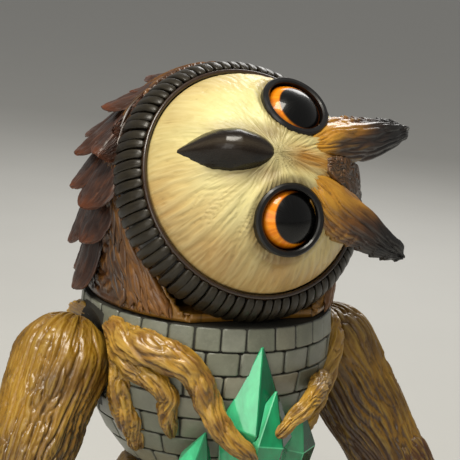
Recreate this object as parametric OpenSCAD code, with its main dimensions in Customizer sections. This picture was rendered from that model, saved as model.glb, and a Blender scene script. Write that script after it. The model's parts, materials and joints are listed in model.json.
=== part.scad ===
// Owl figurine: an owl head with a turning face on a brick tower body, with wing arms, roots and crystals.
// All sizes are in millimetres. The figure faces -Y, its own left side is +X, and it stands on z = 0.

/* [Tower body] */
// Height of the seam between the head and the body
neck_z = 116; // [106:1:128]
// Largest radius of the tower
tower_belly_r = 39.2; // [37:0.2:40]
// How far the widest course lies below the neck seam
belly_drop = 10; // [6:0.5:14]
// Radius of the arc that draws the tower's side
tower_arc_r = 57.8; // [55:0.2:64]
// Height of the tower from waist to neck seam
tower_h = 54; // [48:1:58]
// Wall of the hollow tower
tower_wall = 3; // [2:0.1:4]
// Thickness of the tower's roof and floor
tower_deck = 4; // [3:0.5:6]
// Height of one course of bricks
course_h = 7.25; // [6:0.25:9]
// Width and depth of the mortar line between two courses
mortar = 0.7; // [0.3:0.1:1.2]

/* [Neck joint] */
// Radius of the neck post
neck_post_r = 10; // [7:0.5:12]
// Wall of the neck post
neck_post_wall = 3; // [2:0.5:4]
// Wall of the neck bush
neck_bush_wall = 3; // [2:0.5:4]
// Gap that shows at the neck seam
seam_gap = 0.35; // [0.25:0.05:0.8]

/* [Head] */
// Radius of the head hood
head_r = 37.5; // [35:0.5:38]
// Height of the centre of the hood's dome above the seam
head_dome_up = 35; // [31:0.5:40]
// Wall of the hood
head_wall = 3; // [2:0.25:4]

/* [Face] */
// How far the face rim's centre lies in front of the neck axis
face_forward = 23.5; // [21:0.5:26]
// How far the face rim's centre lies above the neck seam
face_up = 40.5; // [38:0.5:45]
// How far the face looks up, in degrees
face_tilt = 28; // [24:1:31]
// How far the face is turned clockwise at rest, in degrees
face_turn = 102; // [0:1:180]
// Radius of the face mask at its rim
mask_r = 33.6; // [31:0.2:35]
// How far the mask's dome stands out of its rim
mask_dome = 25; // [22:0.5:27]
// Wall of the mask
mask_wall = 2.4; // [1.6:0.2:3.2]
// Depth of the skirt behind the mask's rim
mask_skirt = 5; // [3:0.5:6]

/* [Ruff] */
// Largest radius of the ribbed ruff
ruff_r = 40.3; // [38:0.1:41]
// Depth of the ruff from its front lip to its back
ruff_depth = 12.5; // [11:0.5:13]
// Number of ribs
rib_count = 76; // [48:2:96]
// Width of the smooth lip
lip_w = 1.8; // [1.2:0.1:2.6]
// Running gap between the mask and the lip
face_gap = 0.4; // [0.3:0.1:0.8]
// Radius of the face axle
face_axle_r = 4; // [3:0.25:5]

/* [Eyes] */
// Distance of each eye from the middle of the face
eye_side = 17.1; // [15.8:0.1:18]
// How far the eyes lie above the middle of the face
eye_up = 2; // [0:0.5:4]
// Outer radius of the eye rim
eye_rim_r = 10.5; // [9:0.1:11.5]
// Radius of the glass
eye_glass_r = 8.6; // [7:0.1:9.2]
// How far the glass stands out of its rim
eye_bulge = 4.4; // [3:0.2:6]
// How far each eye turns outwards, in degrees
eye_turn = 21; // [15:1:27]

/* [Beak and brows] */
// Length of the beak
beak_len = 25; // [20:0.5:27]
// Half width of the beak at its root
beak_half_w = 6; // [4:0.5:7]
// How far the brow tufts reach above the middle of the face
tuft_reach = 41.5; // [36:0.5:44]
// Distance of each tuft's tip from the middle of the face
tuft_side = 19.6; // [16:0.2:22]
// Radius of a tuft at its thickest
tuft_r = 5; // [4:0.25:6]

/* [Wings] */
// Radius of the shoulder ball
shoulder_r = 15.5; // [13:0.1:16]
// How far the shoulder ball's centre lies from the middle
shoulder_out = 47.5; // [46:0.5:54]
// How far the shoulder's centre lies below the neck seam
shoulder_drop = 20; // [20:0.5:25]
// Radius of the elbow
elbow_r = 12.5; // [9:0.5:13]
// How far the elbow lies outside the shoulder
elbow_out = 16.5; // [14:0.5:24]
// How far the elbow lies below the shoulder
elbow_drop = 35.5; // [28:0.5:38]
// Radius of the forearm
forearm_r = 12.5; // [9:0.5:13]
// Length of the forearm from the elbow to the wrist
forearm_len = 20; // [14:1:26]
// How far the wings are swung forwards at rest, in degrees
wing_rest = 25; // [0:1:45]
// Radius of the shoulder axle
wing_axle_r = 4; // [3:0.25:5]
// Thickness of a wing feather
quill_t = 2.2; // [1.6:0.2:3]

/* [Legs and tail] */
// Distance of each leg from the middle
leg_side = 20; // [18:0.5:24]
// Radius of a leg at the thigh
thigh_r = 15; // [12:0.5:17]
// How far the front talons reach from the middle
toe_reach = 54; // [46:1:58]
// Radius of a toe
toe_r = 4.6; // [3.5:0.1:5.5]
// How far the tail reaches behind the middle
tail_reach = 54; // [44:1:58]

/* [Hidden] */
// Clearance between glued pieces whose faces are curved
glue = 0.15;
// Radial clearance of a running fit
run_fit = 0.05;
// Clearance across a side of a joint
side_fit = 0.2;
// How far cutting shapes run past what they cut
past = 1;

waist_z = neck_z - tower_h;
belly_z = neck_z - belly_drop;
arc_x = tower_belly_r - tower_arc_r;
function tower_r(z) = arc_x + sqrt(tower_arc_r * tower_arc_r - (z - belly_z) * (z - belly_z));

neck_bush_r = neck_post_r + run_fit + neck_bush_wall;
neck_bush_h = 8;
neck_flange = 3;
clip_t = 1.2;
clip_w = 3;
clip_groove = 1.2;
neck_post_low = neck_z - neck_bush_h - 4;
neck_clip_z = neck_z - neck_bush_h - side_fit - clip_t;

// The face frame has its origin at the middle of the mask's rim, and looks along its own +Z.
mask_sphere_r = (mask_r * mask_r + mask_dome * mask_dome) / (2 * mask_dome);
mask_sphere_z = mask_dome - mask_sphere_r;
function mask_w(r) = mask_sphere_z + sqrt(mask_sphere_r * mask_sphere_r - r * r);
lip_r = mask_r + face_gap;
ruff_web_t = 3;
ruff_back_w = -ruff_depth;
face_bush_wall = 2.5;
face_bush_r = face_axle_r + run_fit + face_bush_wall;
hub_t = 2.5;
hub_back_w = -mask_skirt;
face_axle_back = ruff_back_w - 5;

eye_r = sqrt(eye_side * eye_side + eye_up * eye_up);
eye_w = mask_w(eye_r);
eye_seat = 4;
eye_back_t = 1.2;

shoulder_z = neck_z - shoulder_drop;
joint_gap = 0.35;
socket_wall = 2.6;
arm_len = sqrt(elbow_out * elbow_out + elbow_drop * elbow_drop);
// The slope off the vertical of the line that just touches the shoulder and the elbow on their inner side.
arm_inner_slope = atan2(elbow_out, elbow_drop) + asin((shoulder_r - elbow_r) / arm_len);
elbow = [shoulder_out + elbow_out, 0, shoulder_z - elbow_drop];
forearm_slope = 34;
wrist = elbow + forearm_len * [sin(forearm_slope), 0, -cos(forearm_slope)];
wrist_r = forearm_r - 3;
wing_bush_wall = 2.2;
wing_bush_r = wing_axle_r + run_fit + wing_bush_wall;
wing_bush_out = shoulder_out - shoulder_r - joint_gap + 0.05;
wing_bush_len = 7;
wing_clip_x = wing_bush_out - wing_bush_len - side_fit - clip_t;
wing_axle_in = wing_clip_x - 1.5;
wing_axle_out = shoulder_out;

haunch_r = 27;
haunch_z = waist_z - 16;
haunch_low = waist_z - 30;
screw_r = 2;
screw_head_r = 4;
screw_head_h = 2.5;
screw_seat_z = waist_z - 8;
leg_low_z = 9;

stone = [0.47, 0.48, 0.42];
cream = [0.87, 0.80, 0.55];
amber = [0.90, 0.52, 0.08];
horn = [0.13, 0.11, 0.09];
ochre = [0.62, 0.45, 0.18];
russet = [0.30, 0.16, 0.08];
umber = [0.22, 0.18, 0.12];
emerald = [0.10, 0.68, 0.46];
steel = [0.70, 0.71, 0.73];
nylon = [0.90, 0.90, 0.86];

NODES = [
    "tower_body", "neck_bush", "wing_bush_right", "wing_bush_left", "haunches", "waist_screw",
    "leg_right", "leg_left", "foot_right", "foot_left", "talons_right", "talons_left", "tail_feathers",
    "roots_right", "roots_left", "crystal_tall", "crystal_front", "crystal_left", "crystal_right",
    "crystal_small", "head_hood", "cheek_fur", "nape_feathers", "neck_post", "neck_clip", "ribbed_ruff",
    "ruff_lip", "face_bush",
    "face_mask", "face_hub", "face_axle", "face_clip", "beak", "crown_patch",
    "brow_tuft_right", "brow_tuft_left", "eye_rim_right", "eye_rim_left", "eye_iris_right", "eye_iris_left",
    "eye_glass_right", "eye_glass_left",
    "wing_arm_right", "wing_arm_left", "wing_forearm_right", "wing_forearm_left",
    "wing_coverts_right", "wing_coverts_left", "wing_secondaries_right", "wing_secondaries_left",
    "wing_primaries_right", "wing_primaries_left", "wing_axle_right", "wing_axle_left",
    "wing_clip_right", "wing_clip_left"
];
node = "all";

// ---- helpers -------------------------------------------------------------------------------------------

// Puts its children in the face frame, upright.
module face_frame() {
    translate([0, -face_forward, neck_z + face_up]) rotate([90 - face_tilt, 0, 0]) children();
}

// Puts its children on the face as it is turned at rest.
module turned_face() {
    face_frame() rotate([0, 0, -face_turn]) children();
}

// Puts its children on an eye, with +Z out of the glass. side is -1 or 1.
module eye_frame(side) {
    turned_face() translate([side * eye_side, eye_up, eye_w]) rotate([0, side * eye_turn, 0]) children();
}

// side -1 is the figure's right at -X, and 1 is its left.
module on_side(side) {
    if (side < 0) mirror([1, 0, 0]) children();
    else children();
}

// A chain of rounded links through points [x, y, z, radius].
module limb(points, fn = 16) {
    for (i = [0 : len(points) - 2])
        hull() {
            translate([for (k = [0 : 2]) points[i][k]]) sphere(r = points[i][3], $fn = fn);
            translate([for (k = [0 : 2]) points[i + 1][k]]) sphere(r = points[i + 1][3], $fn = fn);
        }
}

// A tube along +Z.
module tube(outer, inner, h) {
    difference() {
        cylinder(r = outer, h = h, $fn = 64);
        translate([0, 0, -past]) cylinder(r = inner, h = h + 2 * past, $fn = 64);
    }
}

// A flat feather that hangs along -Z from the origin, its outer face towards +X.
module quill(length, width, t = quill_t) {
    tip = width * 0.5;
    rotate([0, -90, 0]) translate([0, 0, -t]) linear_extrude(t) union() {
        translate([-length + tip, 0]) circle(r = tip, $fn = 32);
        polygon([[0, -width * 0.32], [0, width * 0.32], [-length + tip, tip], [-length + tip, -tip]]);
    }
}

// A point on the tower, from its angle off the front, its depth under the seam and its height off the wall.
function on_tower(angle, drop, lift, r) = let (z = neck_z - drop, q = tower_r(z) + lift)
    [q * sin(angle), -q * cos(angle), z, r];

module tower_solid(grow) {
    rotate_extrude($fn = 72) intersection() {
        translate([arc_x, belly_z]) circle(r = tower_arc_r + grow, $fn = 180);
        translate([0, waist_z - past]) square([tower_belly_r + 10, tower_h + past]);
    }
}

// ---- body ----------------------------------------------------------------------------------------------

module tower_outline(inset, low, high) {
    intersection() {
        translate([arc_x, belly_z]) circle(r = tower_arc_r - inset, $fn = 180);
        translate([0, low]) square([tower_belly_r + 10, high - low]);
    }
}

module tower_body() {
    color(stone) difference() {
        union() {
            rotate_extrude($fn = 96) difference() {
                tower_outline(0, waist_z, neck_z);
                tower_outline(tower_wall, waist_z + tower_deck, neck_z - tower_deck);
                for (z = [neck_z - course_h : -course_h : waist_z + 3])
                    translate([tower_r(z) - mortar, z - mortar / 2]) square([2 * mortar, mortar]);
            }
            intersection() {
                rotate_extrude($fn = 96) tower_outline(mortar, waist_z, neck_z);
                for (side = [-1, 1]) on_side(side) shoulder_ball(joint_gap + socket_wall);
            }
        }
        translate([0, 0, neck_z - tower_deck - past])
            cylinder(r = neck_bush_r, h = tower_deck + 2 * past, $fn = 64);
        for (side = [-1, 1]) on_side(side) wing_path(joint_gap);
        translate([-shoulder_out, 0, shoulder_z]) rotate([0, 90, 0])
            cylinder(r = wing_bush_r, h = 2 * shoulder_out, $fn = 64);
        translate([0, 0, waist_z - past]) cylinder(r = screw_r, h = tower_deck + 2 * past, $fn = 32);
    }
}

module shoulder_ball(grow = 0) {
    translate([shoulder_out, 0, shoulder_z]) sphere(r = shoulder_r + grow, $fn = 96);
}

// The space beside the tower that a wing passes through as it swings about its axle.
module wing_path(grow = 0) {
    near = shoulder_r * sin(arm_inner_slope);
    reach = 90;
    start = shoulder_out - shoulder_r * cos(arm_inner_slope) - grow / cos(arm_inner_slope);
    shoulder_ball(grow);
    translate([start, 0, shoulder_z]) rotate([0, 90, 0])
        cylinder(r1 = near, r2 = reach, h = (reach - near) * tan(arm_inner_slope), $fn = 96);
}

module neck_bush() {
    color(nylon) translate([0, 0, neck_z - neck_bush_h]) difference() {
        union() {
            cylinder(r = neck_bush_r, h = neck_bush_h - seam_gap, $fn = 64);
            cylinder(r = neck_bush_r + neck_flange, h = neck_bush_h - tower_deck, $fn = 64);
        }
        translate([0, 0, -past]) cylinder(r = neck_post_r + run_fit, h = neck_bush_h + 2 * past, $fn = 64);
    }
}

module wing_bush(side) {
    color(nylon) on_side(side) translate([wing_bush_out - wing_bush_len, 0, shoulder_z]) rotate([0, 90, 0])
        tube(wing_bush_r, wing_axle_r + run_fit, wing_bush_len);
}

module haunches() {
    color(ochre) difference() {
        rotate_extrude($fn = 72) intersection() {
            translate([0, haunch_z]) circle(r = haunch_r, $fn = 120);
            translate([0, haunch_low]) square([haunch_r + past, waist_z - haunch_low]);
        }
        translate([0, 0, haunch_low - past])
            cylinder(r = screw_head_r + 0.3, h = screw_seat_z - haunch_low + past, $fn = 48);
        translate([0, 0, screw_seat_z - past]) cylinder(r = screw_r + 0.2, h = 30, $fn = 32);
        for (side = [-1, 1]) on_side(side) leg_form(glue);
    }
}

module waist_screw() {
    color(steel) union() {
        translate([0, 0, screw_seat_z - screw_head_h])
            cylinder(r = screw_head_r, h = screw_head_h, $fn = 48);
        translate([0, 0, screw_seat_z - past])
            cylinder(r = screw_r, h = waist_z + tower_deck - screw_seat_z + past, $fn = 32);
    }
}

module leg_form(grow = 0) {
    hull() {
        translate([leg_side - 1, 1, haunch_z - 6]) sphere(r = thigh_r + grow, $fn = 32);
        translate([leg_side + 1, -2, leg_low_z + 8]) sphere(r = thigh_r * 0.62 + grow, $fn = 32);
    }
}

module leg(side) {
    color(ochre) on_side(side) difference() {
        leg_form();
        translate([0, 0, -past]) cylinder(r = 100, h = leg_low_z + past, $fn = 64);
        translate([0, 0, haunch_low - past]) cylinder(r = screw_head_r + 0.3, h = 40, $fn = 48);
    }
}

toe_angles = [-24, 0, 24];
foot_y = -2;
claw_len = 11;

heel = [leg_side + 1, foot_y];
toe_len = toe_reach - claw_len + foot_y;

// Puts its children on the end of the toe that points at angle a.
module toe_end(a) {
    translate([heel[0] + (toe_len - 1) * sin(a) * 0.9, heel[1] - toe_len * cos(a), toe_r * 0.75]) children();
}

module foot(side) {
    color(umber) on_side(side) difference() {
        union() {
            for (a = toe_angles)
                hull() {
                    translate([heel[0], heel[1], toe_r]) sphere(r = toe_r, $fn = 24);
                    toe_end(a) sphere(r = toe_r * 0.85, $fn = 24);
                }
            hull() {
                translate([heel[0], heel[1], toe_r]) sphere(r = toe_r, $fn = 24);
                translate([heel[0], heel[1] + 18, toe_r * 0.75]) sphere(r = toe_r * 0.8, $fn = 24);
            }
            translate([heel[0], heel[1], 0]) cylinder(r = 9, h = leg_low_z - glue, $fn = 48);
        }
        translate([0, 0, -20]) cylinder(r = 200, h = 20, $fn = 64);
    }
}

module claw(length, r) {
    hull() {
        sphere(r = r, $fn = 20);
        translate([0, -length * 0.55, r * 0.35]) sphere(r = r * 0.7, $fn = 20);
        translate([0, -length + 0.3, -r * 0.4]) sphere(r = 0.3, $fn = 12);
    }
}

module talons(side) {
    color(horn) on_side(side) difference() {
        union() {
            for (a = toe_angles)
                toe_end(a) rotate([0, 0, a * 0.9])
                    translate([0, -2, 0]) claw(toe_reach - toe_len + foot_y - 2, 2.4);
            translate([heel[0], heel[1] + 18, toe_r * 0.75]) rotate([0, 0, 180])
                translate([0, -2, 0]) claw(8, 2.2);
        }
        translate([0, 0, -20]) cylinder(r = 200, h = 20 + glue, $fn = 64);
        foot_clear();
    }
}

// The toes grown by the glue gap, so that a claw sits on its toe.
module foot_clear() {
    for (a = toe_angles)
        toe_end(a) sphere(r = toe_r * 0.85 + glue, $fn = 24);
    translate([heel[0], heel[1] + 18, toe_r * 0.75]) sphere(r = toe_r * 0.8 + glue, $fn = 24);
}

tail_root = [0, 23, 52];
tail_count = 5;
tail_fan = 15;
tail_slope = 35;
tail_t = 2.6;

module tail_feathers() {
    length = (tail_reach - tail_root[1] - tail_t * cos(tail_slope)) / sin(tail_slope);
    color(russet) difference() {
        translate(tail_root) rotate([tail_slope, 0, 0]) for (i = [0 : tail_count - 1])
            let (a = (i - (tail_count - 1) / 2) * tail_fan)
                translate([0, -abs(a) * 0.02, 0]) rotate([0, a, 0]) rotate([0, 0, 90])
                    quill(length * cos(a / 2), 15, tail_t);
        translate([0, 0, haunch_z]) sphere(r = haunch_r + glue, $fn = 72);
    }
}

// ---- roots and crystals --------------------------------------------------------------------------------

roots_right_runs = [
    [[-74, 5, 0, 5.5], [-58, 8, 1.5, 5.5], [-47, 8.5, 2.2, 5.2], [-36, 10, 2.4, 4.6], [-29, 13, 2.4, 4.2],
     [-24, 20, 3, 3.8], [-20, 26, 5, 3.4], [-15, 31, 8, 3.2], [-8, 35, 11, 3], [-1, 39, 11.5, 2.6]],
    [[-70, 8, 0, 5], [-56, 14, 1.5, 4.2], [-45, 17, 2.2, 3.4], [-39.5, 21, 2.4, 3], [-40, 29, 2, 2.6],
     [-38, 36, 1.6, 1.8]],
    [[-72, 10, 0, 5], [-66, 22, 0.5, 4.6], [-62, 33, 0.5, 4], [-61, 44, 1, 2.6]],
    [[-96, 6, 0, 5], [-112, 10, 0.5, 4.4], [-126, 18, 0.8, 3.6], [-132, 30, 0.8, 3], [-146, 40, 0.8, 2]]
];
roots_left_runs = [
    [[74, 5, 0, 5.5], [64, 10, 0.5, 4.6], [56, 18, 0.8, 4], [46, 25, 1.5, 3.6], [36, 31, 3, 3.2],
     [29, 34, 5, 3.2], [24, 42, 5, 2.6], [15, 49, 4, 2]],
    [[50, 22, 1, 3.4], [36, 19.5, 3, 3], [22, 19, 8, 2.8], [13, 21, 11.5, 2.6], [3, 30, 12.5, 2]],
    [[72, 10, 0, 5], [68, 24, 0.5, 4], [60, 38, 0.5, 3], [52, 46, 0.8, 2]],
    [[96, 6, 0, 5], [110, 14, 0.5, 4], [122, 26, 0.8, 3.2], [118, 40, 0.8, 2.2]]
];

module roots(runs) {
    difference() {
        intersection() {
            for (run = runs) limb([for (p = run) on_tower(p[0], p[1], p[2], p[3])], 14);
            translate([0, 0, neck_z - 60]) cylinder(r = tower_belly_r + 30, h = 59.2, $fn = 48);
        }
        tower_solid(glue);
        for (side = [-1, 1]) on_side(side) wing_path(joint_gap);
        for (i = [0 : len(crystals) - 1]) crystal_form(i, glue);
    }
}

module roots_right() { color(ochre) roots(roots_right_runs); }
module roots_left() { color(ochre) roots(roots_left_runs); }

// Each crystal: [angle off the front, drop of its point, height off the wall, radius, length, lean, turn].
crystals = [
    [-1, 4.5, 1.2, 11.5, 52, 3, 12],
    [3, 16.5, 6.5, 7.6, 36, 2, 40],
    [22, 24, 4.0, 6.6, 30, 9, 5],
    [-22, 31, 4.0, 5.6, 22, -12, 20],
    [34, 35, 3.5, 4.4, 18, 16, 30]
];
crystal_slope = 13;

// Crystal i, grown by some clearance: a six-sided column with a long point and a short one.
module crystal_form(i, grow = 0) {
    c = crystals[i];
    p = on_tower(c[0], c[1], c[2], 0);
    r = c[3] + grow;
    long = r * 2.1;
    translate([p[0], p[1], p[2]]) rotate([0, 0, c[0]]) rotate([crystal_slope, -c[5], 0]) rotate([0, 0, c[6]])
        translate([0, 0, -c[4] - grow]) rotate_extrude($fn = 6)
            polygon([[0, 0], [r * 0.82, r * 0.9], [r, c[4] + 2 * grow - long], [0, c[4] + 2 * grow]]);
}

module crystal(i) {
    color(emerald) difference() {
        crystal_form(i);
        tower_solid(glue);
        for (k = [0 : 1 : i - 1]) crystal_form(k, glue);
    }
}

// ---- head ----------------------------------------------------------------------------------------------

module hood_outline(inset, low) {
    intersection() {
        union() {
            translate([0, neck_z + head_dome_up]) circle(r = head_r - inset, $fn = 160);
            translate([0, low]) square([head_r - inset, neck_z + head_dome_up - low]);
        }
        translate([0, low]) square([head_r + past, 2 * head_r + head_dome_up]);
    }
}

// Everything in front of the ruff's back.
module front_of(w) {
    face_frame() translate([0, 0, w]) cylinder(r = 90, h = 90, $fn = 64);
}

module head_hood() {
    color(russet) difference() {
        rotate_extrude($fn = 96) difference() {
            hood_outline(0, neck_z + seam_gap);
            hood_outline(head_wall, neck_z + seam_gap + head_wall);
        }
        front_of(ruff_back_w);
        translate([0, 0, neck_z - past]) cylinder(r = neck_post_r, h = head_wall + 3 * past, $fn = 64);
    }
}

fur_t = 2;
fur_h = 46;

module cheek_fur() {
    color(ochre) difference() {
        translate([0, 0, neck_z + seam_gap]) tube(head_r + fur_t, head_r + glue, fur_h);
        front_of(ruff_back_w - glue);
        translate([-60, 7, neck_z - past]) cube([120, 60, 80]);
    }
}

// Feather rows: [height of the roots, height of the tips, lift of the tips, half the sweep, count, width].
nape_tiers = [
    [27, 3, 4.5, 66, 7, 13.5],
    [43, 17, 6, 72, 8, 13],
    [56, 33, 8, 70, 7, 13],
    [66, 48, 8, 60, 5, 13]
];

// Radius of the hood at a height above the seam.
function hood_q(h) = sqrt(head_r * head_r - pow(max(h - head_dome_up, 0), 2));

module nape_feathers() {
    color(russet) difference() {
        for (tier = nape_tiers)
            let (root = [hood_q(tier[0]) - 2.2, tier[0]], tip = [hood_q(tier[1]) + tier[2], tier[1]],
                 run = norm(tip - root), lean = atan2(tip[0] - root[0], root[1] - tip[1]))
                for (i = [0 : tier[4] - 1])
                    rotate([0, 0, 90 - tier[3] + 2 * tier[3] * i / (tier[4] - 1)])
                        translate([root[0], 0, neck_z + root[1]]) rotate([0, -lean, 0])
                            quill(run, tier[5], 2.4);
        rotate_extrude($fn = 72) hood_outline(-glue, neck_z + seam_gap);
        front_of(ruff_back_w - glue);
        cheek_clear();
    }
}

module cheek_clear() {
    difference() {
        translate([0, 0, neck_z - past]) tube(head_r + fur_t + glue, head_r - past, fur_h + 2 * past);
        translate([-60, 7 + glue, neck_z - 2 * past]) cube([120, 60, 90]);
    }
}

module neck_post() {
    color(nylon) difference() {
        translate([0, 0, neck_post_low])
            tube(neck_post_r, neck_post_r - neck_post_wall, neck_z + seam_gap + head_wall - neck_post_low);
        translate([0, 0, neck_clip_z]) tube(neck_post_r + past, neck_post_r - clip_groove, clip_t);
    }
}

module neck_clip() {
    color(steel) translate([0, 0, neck_clip_z])
        tube(neck_post_r + clip_w, neck_post_r - clip_groove, clip_t);
}

module ribbed_ruff() {
    root_r = lip_r + lip_w;
    color(umber) face_frame() difference() {
        rotate_extrude($fn = 96) polygon([
            [face_bush_r, ruff_back_w], [ruff_r - 2, ruff_back_w], [ruff_r, ruff_back_w + 2],
            [ruff_r - 0.5, ruff_back_w + 5], [root_r + 1, -1.2], [root_r, -0.6], [root_r, ruff_back_w + 6],
            [lip_r, ruff_back_w + 6], [lip_r, ruff_back_w + ruff_web_t], [face_bush_r, ruff_back_w + ruff_web_t]
        ]);
        for (i = [0 : rib_count - 1])
            rotate([0, 0, i * 360 / rib_count]) translate([root_r + 1.2, -0.4, ruff_back_w + 2])
                rotate([0, 30, 0]) cube([9, 0.8, 14]);
    }
}

module ruff_lip() {
    color(umber) face_frame() translate([0, 0, ruff_back_w + 6]) tube(lip_r + lip_w, lip_r, ruff_depth - 6);
}

module face_bush() {
    color(nylon) face_frame() translate([0, 0, ruff_back_w - 1.5])
        tube(face_bush_r, face_axle_r + run_fit, ruff_web_t + 1.5 + 1);
}

// ---- face ----------------------------------------------------------------------------------------------

module face_mask() {
    color(cream) turned_face() difference() {
        union() {
            intersection() {
                translate([0, 0, mask_sphere_z]) sphere(r = mask_sphere_r, $fn = 128);
                cylinder(r = mask_r, h = mask_dome + past, $fn = 128);
            }
            translate([0, 0, -mask_skirt]) cylinder(r = mask_r, h = mask_skirt, $fn = 128);
        }
        intersection() {
            translate([0, 0, mask_sphere_z]) sphere(r = mask_sphere_r - mask_wall, $fn = 128);
            cylinder(r = mask_r - mask_wall, h = mask_dome + past, $fn = 128);
        }
        translate([0, 0, -mask_skirt - past])
            cylinder(r = mask_r - mask_wall, h = mask_skirt + past + 0.01, $fn = 128);
        for (side = [-1, 1])
            translate([side * eye_side, eye_up, eye_w]) rotate([0, side * eye_turn, 0])
                translate([0, 0, -14]) cylinder(r = eye_rim_r, h = 30, $fn = 64);
    }
}

module face_hub() {
    color(nylon) turned_face() translate([0, 0, hub_back_w]) difference() {
        union() {
            cylinder(r = mask_r - mask_wall, h = hub_t, $fn = 96);
            cylinder(r = face_axle_r + 3, h = hub_t + 6, $fn = 64);
        }
        translate([0, 0, -past]) cylinder(r = face_axle_r, h = hub_t + 6 + 2 * past, $fn = 64);
    }
}

module face_axle() {
    color(steel) turned_face() difference() {
        translate([0, 0, face_axle_back])
            cylinder(r = face_axle_r, h = hub_back_w + hub_t + 6 - face_axle_back, $fn = 64);
        translate([0, 0, ruff_back_w - 1.5 - side_fit - clip_t])
            tube(face_axle_r + past, face_axle_r - clip_groove, clip_t);
    }
}

module face_clip() {
    color(steel) turned_face() translate([0, 0, ruff_back_w - 1.5 - side_fit - clip_t])
        tube(face_axle_r + clip_w, face_axle_r - clip_groove, clip_t);
}

// What the pieces on the mask are cut back to.
module mask_clear() {
    translate([0, 0, mask_sphere_z]) sphere(r = mask_sphere_r + glue, $fn = 96);
    for (side = [-1, 1])
        translate([side * eye_side, eye_up, eye_w]) rotate([0, side * eye_turn, 0])
            translate([0, 0, -14]) cylinder(r = eye_rim_r + 0.4, h = 30, $fn = 48);
}

beak_root_b = -6;

module beak() {
    middle = [0, beak_root_b - beak_len * 0.4, mask_w(14) - 0.5];
    bend = [0, beak_root_b - beak_len * 0.78, mask_w(24) + 1.6];
    tip = [0, beak_root_b - beak_len, mask_w(-beak_root_b + beak_len - 3) + 3.4];
    color(horn) turned_face() difference() {
        union() {
            hull() {
                translate([0, beak_root_b, mask_w(5) - 4]) sphere(r = beak_half_w, $fn = 28);
                translate(middle) sphere(r = beak_half_w * 0.8, $fn = 28);
            }
            hull() {
                translate(middle) sphere(r = beak_half_w * 0.8, $fn = 28);
                translate(bend) sphere(r = beak_half_w * 0.45, $fn = 24);
            }
            hull() {
                translate(bend) sphere(r = beak_half_w * 0.45, $fn = 24);
                translate(tip) sphere(r = 0.8, $fn = 16);
            }
        }
        mask_clear();
    }
}

crown_t = 2.2;

module crown_patch() {
    color(umber) turned_face() difference() {
        intersection() {
            translate([0, 0, mask_sphere_z]) sphere(r = mask_sphere_r + crown_t, $fn = 96);
            linear_extrude(mask_dome + 10) polygon([[0, 10], [7.5, 22], [9, 33.2], [-9, 33.2], [-7.5, 22]]);
            cylinder(r = mask_r - 0.2, h = mask_dome + 10, $fn = 96);
        }
        mask_clear();
        for (side = [-1, 1]) tuft_form(side, glue);
    }
}

// A brow ridge that starts between the eyes and rises into a tuft.
module tuft_form(side, grow = 0) {
    points = [
        [side * 3.5, 8, mask_w(9) + 0.5, tuft_r * 0.5],
        [side * 8.5, 17, mask_w(19) + 1, tuft_r * 0.8],
        [side * 13, 27, mask_w(28) + 3.5, tuft_r],
        [side * (tuft_side - 2), tuft_reach - 6, 16, tuft_r * 0.8],
        [side * tuft_side, tuft_reach - 2, 17, tuft_r * 0.4]
    ];
    limb([for (p = points) [p[0], p[1], p[2], p[3] + grow]], 24);
}

module brow_tuft(side) {
    color(ochre) turned_face() difference() {
        tuft_form(side);
        mask_clear();
        translate([side < 0 ? glue / 2 : -100 - glue / 2, -50, -50]) cube([100, 120, 100]);
    }
}

module eye_rim(side) {
    color(horn) eye_frame(side) rotate_extrude($fn = 96) polygon([
        [eye_glass_r, -eye_seat], [eye_rim_r, -eye_seat], [eye_rim_r, 0.6], [eye_rim_r - 0.5, 1.2],
        [eye_glass_r + 0.4, 1.2], [eye_glass_r, 0.8]
    ]);
}

module eye_iris(side) {
    color(amber) eye_frame(side) translate([0, 0, -eye_seat])
        cylinder(r = eye_glass_r, h = eye_back_t, $fn = 64);
}

module eye_glass(side) {
    low = -eye_seat + eye_back_t;
    high = eye_bulge - 1.2;
    r = (eye_glass_r * eye_glass_r + (high + 1) * (high + 1)) / (2 * (high + 1));
    color([0.8, 0.9, 0.95, 0.4]) eye_frame(side) intersection() {
        translate([0, 0, low]) cylinder(r = eye_glass_r, h = high - low, $fn = 64);
        translate([0, 0, high - r]) sphere(r = r, $fn = 96);
    }
}

// ---- wings ---------------------------------------------------------------------------------------------

// Puts its children on a wing, which is drawn hanging straight down, as it stands at rest.
module wing_frame(side) {
    on_side(side) translate([0, 0, shoulder_z]) rotate([-wing_rest, 0, 0])
        translate([0, 0, -shoulder_z]) children();
}

module arm_form(grow = 0) {
    hull() {
        translate([shoulder_out, 0, shoulder_z]) sphere(r = shoulder_r + grow, $fn = 40);
        translate(elbow) sphere(r = elbow_r + grow, $fn = 32);
    }
}

module forearm_form(grow = 0) {
    hull() {
        translate(elbow + [2.5, 0, -3]) sphere(r = forearm_r + grow, $fn = 32);
        translate(wrist) sphere(r = wrist_r + grow, $fn = 32);
    }
}

module wing_arm(side) {
    color(ochre) wing_frame(side) difference() {
        arm_form();
        translate([shoulder_out - shoulder_r - past, 0, shoulder_z]) rotate([0, 90, 0])
            cylinder(r = wing_axle_r, h = shoulder_r + past, $fn = 64);
    }
}

module wing_forearm(side) {
    color(russet) wing_frame(side) difference() {
        forearm_form();
        arm_form(glue);
    }
}

// Wing feathers: [distance off the wrist, height above it, length, width, count, fan, first angle].
coverts = [9.4, 8, 28, 12, 5, 12, -16];
secondaries = [5.8, 2, 30, 12, 6, 12, -18];
primaries = [2.2, -4, 29, 11.5, 7, 11, -18];
wing_lean = 8;

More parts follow.
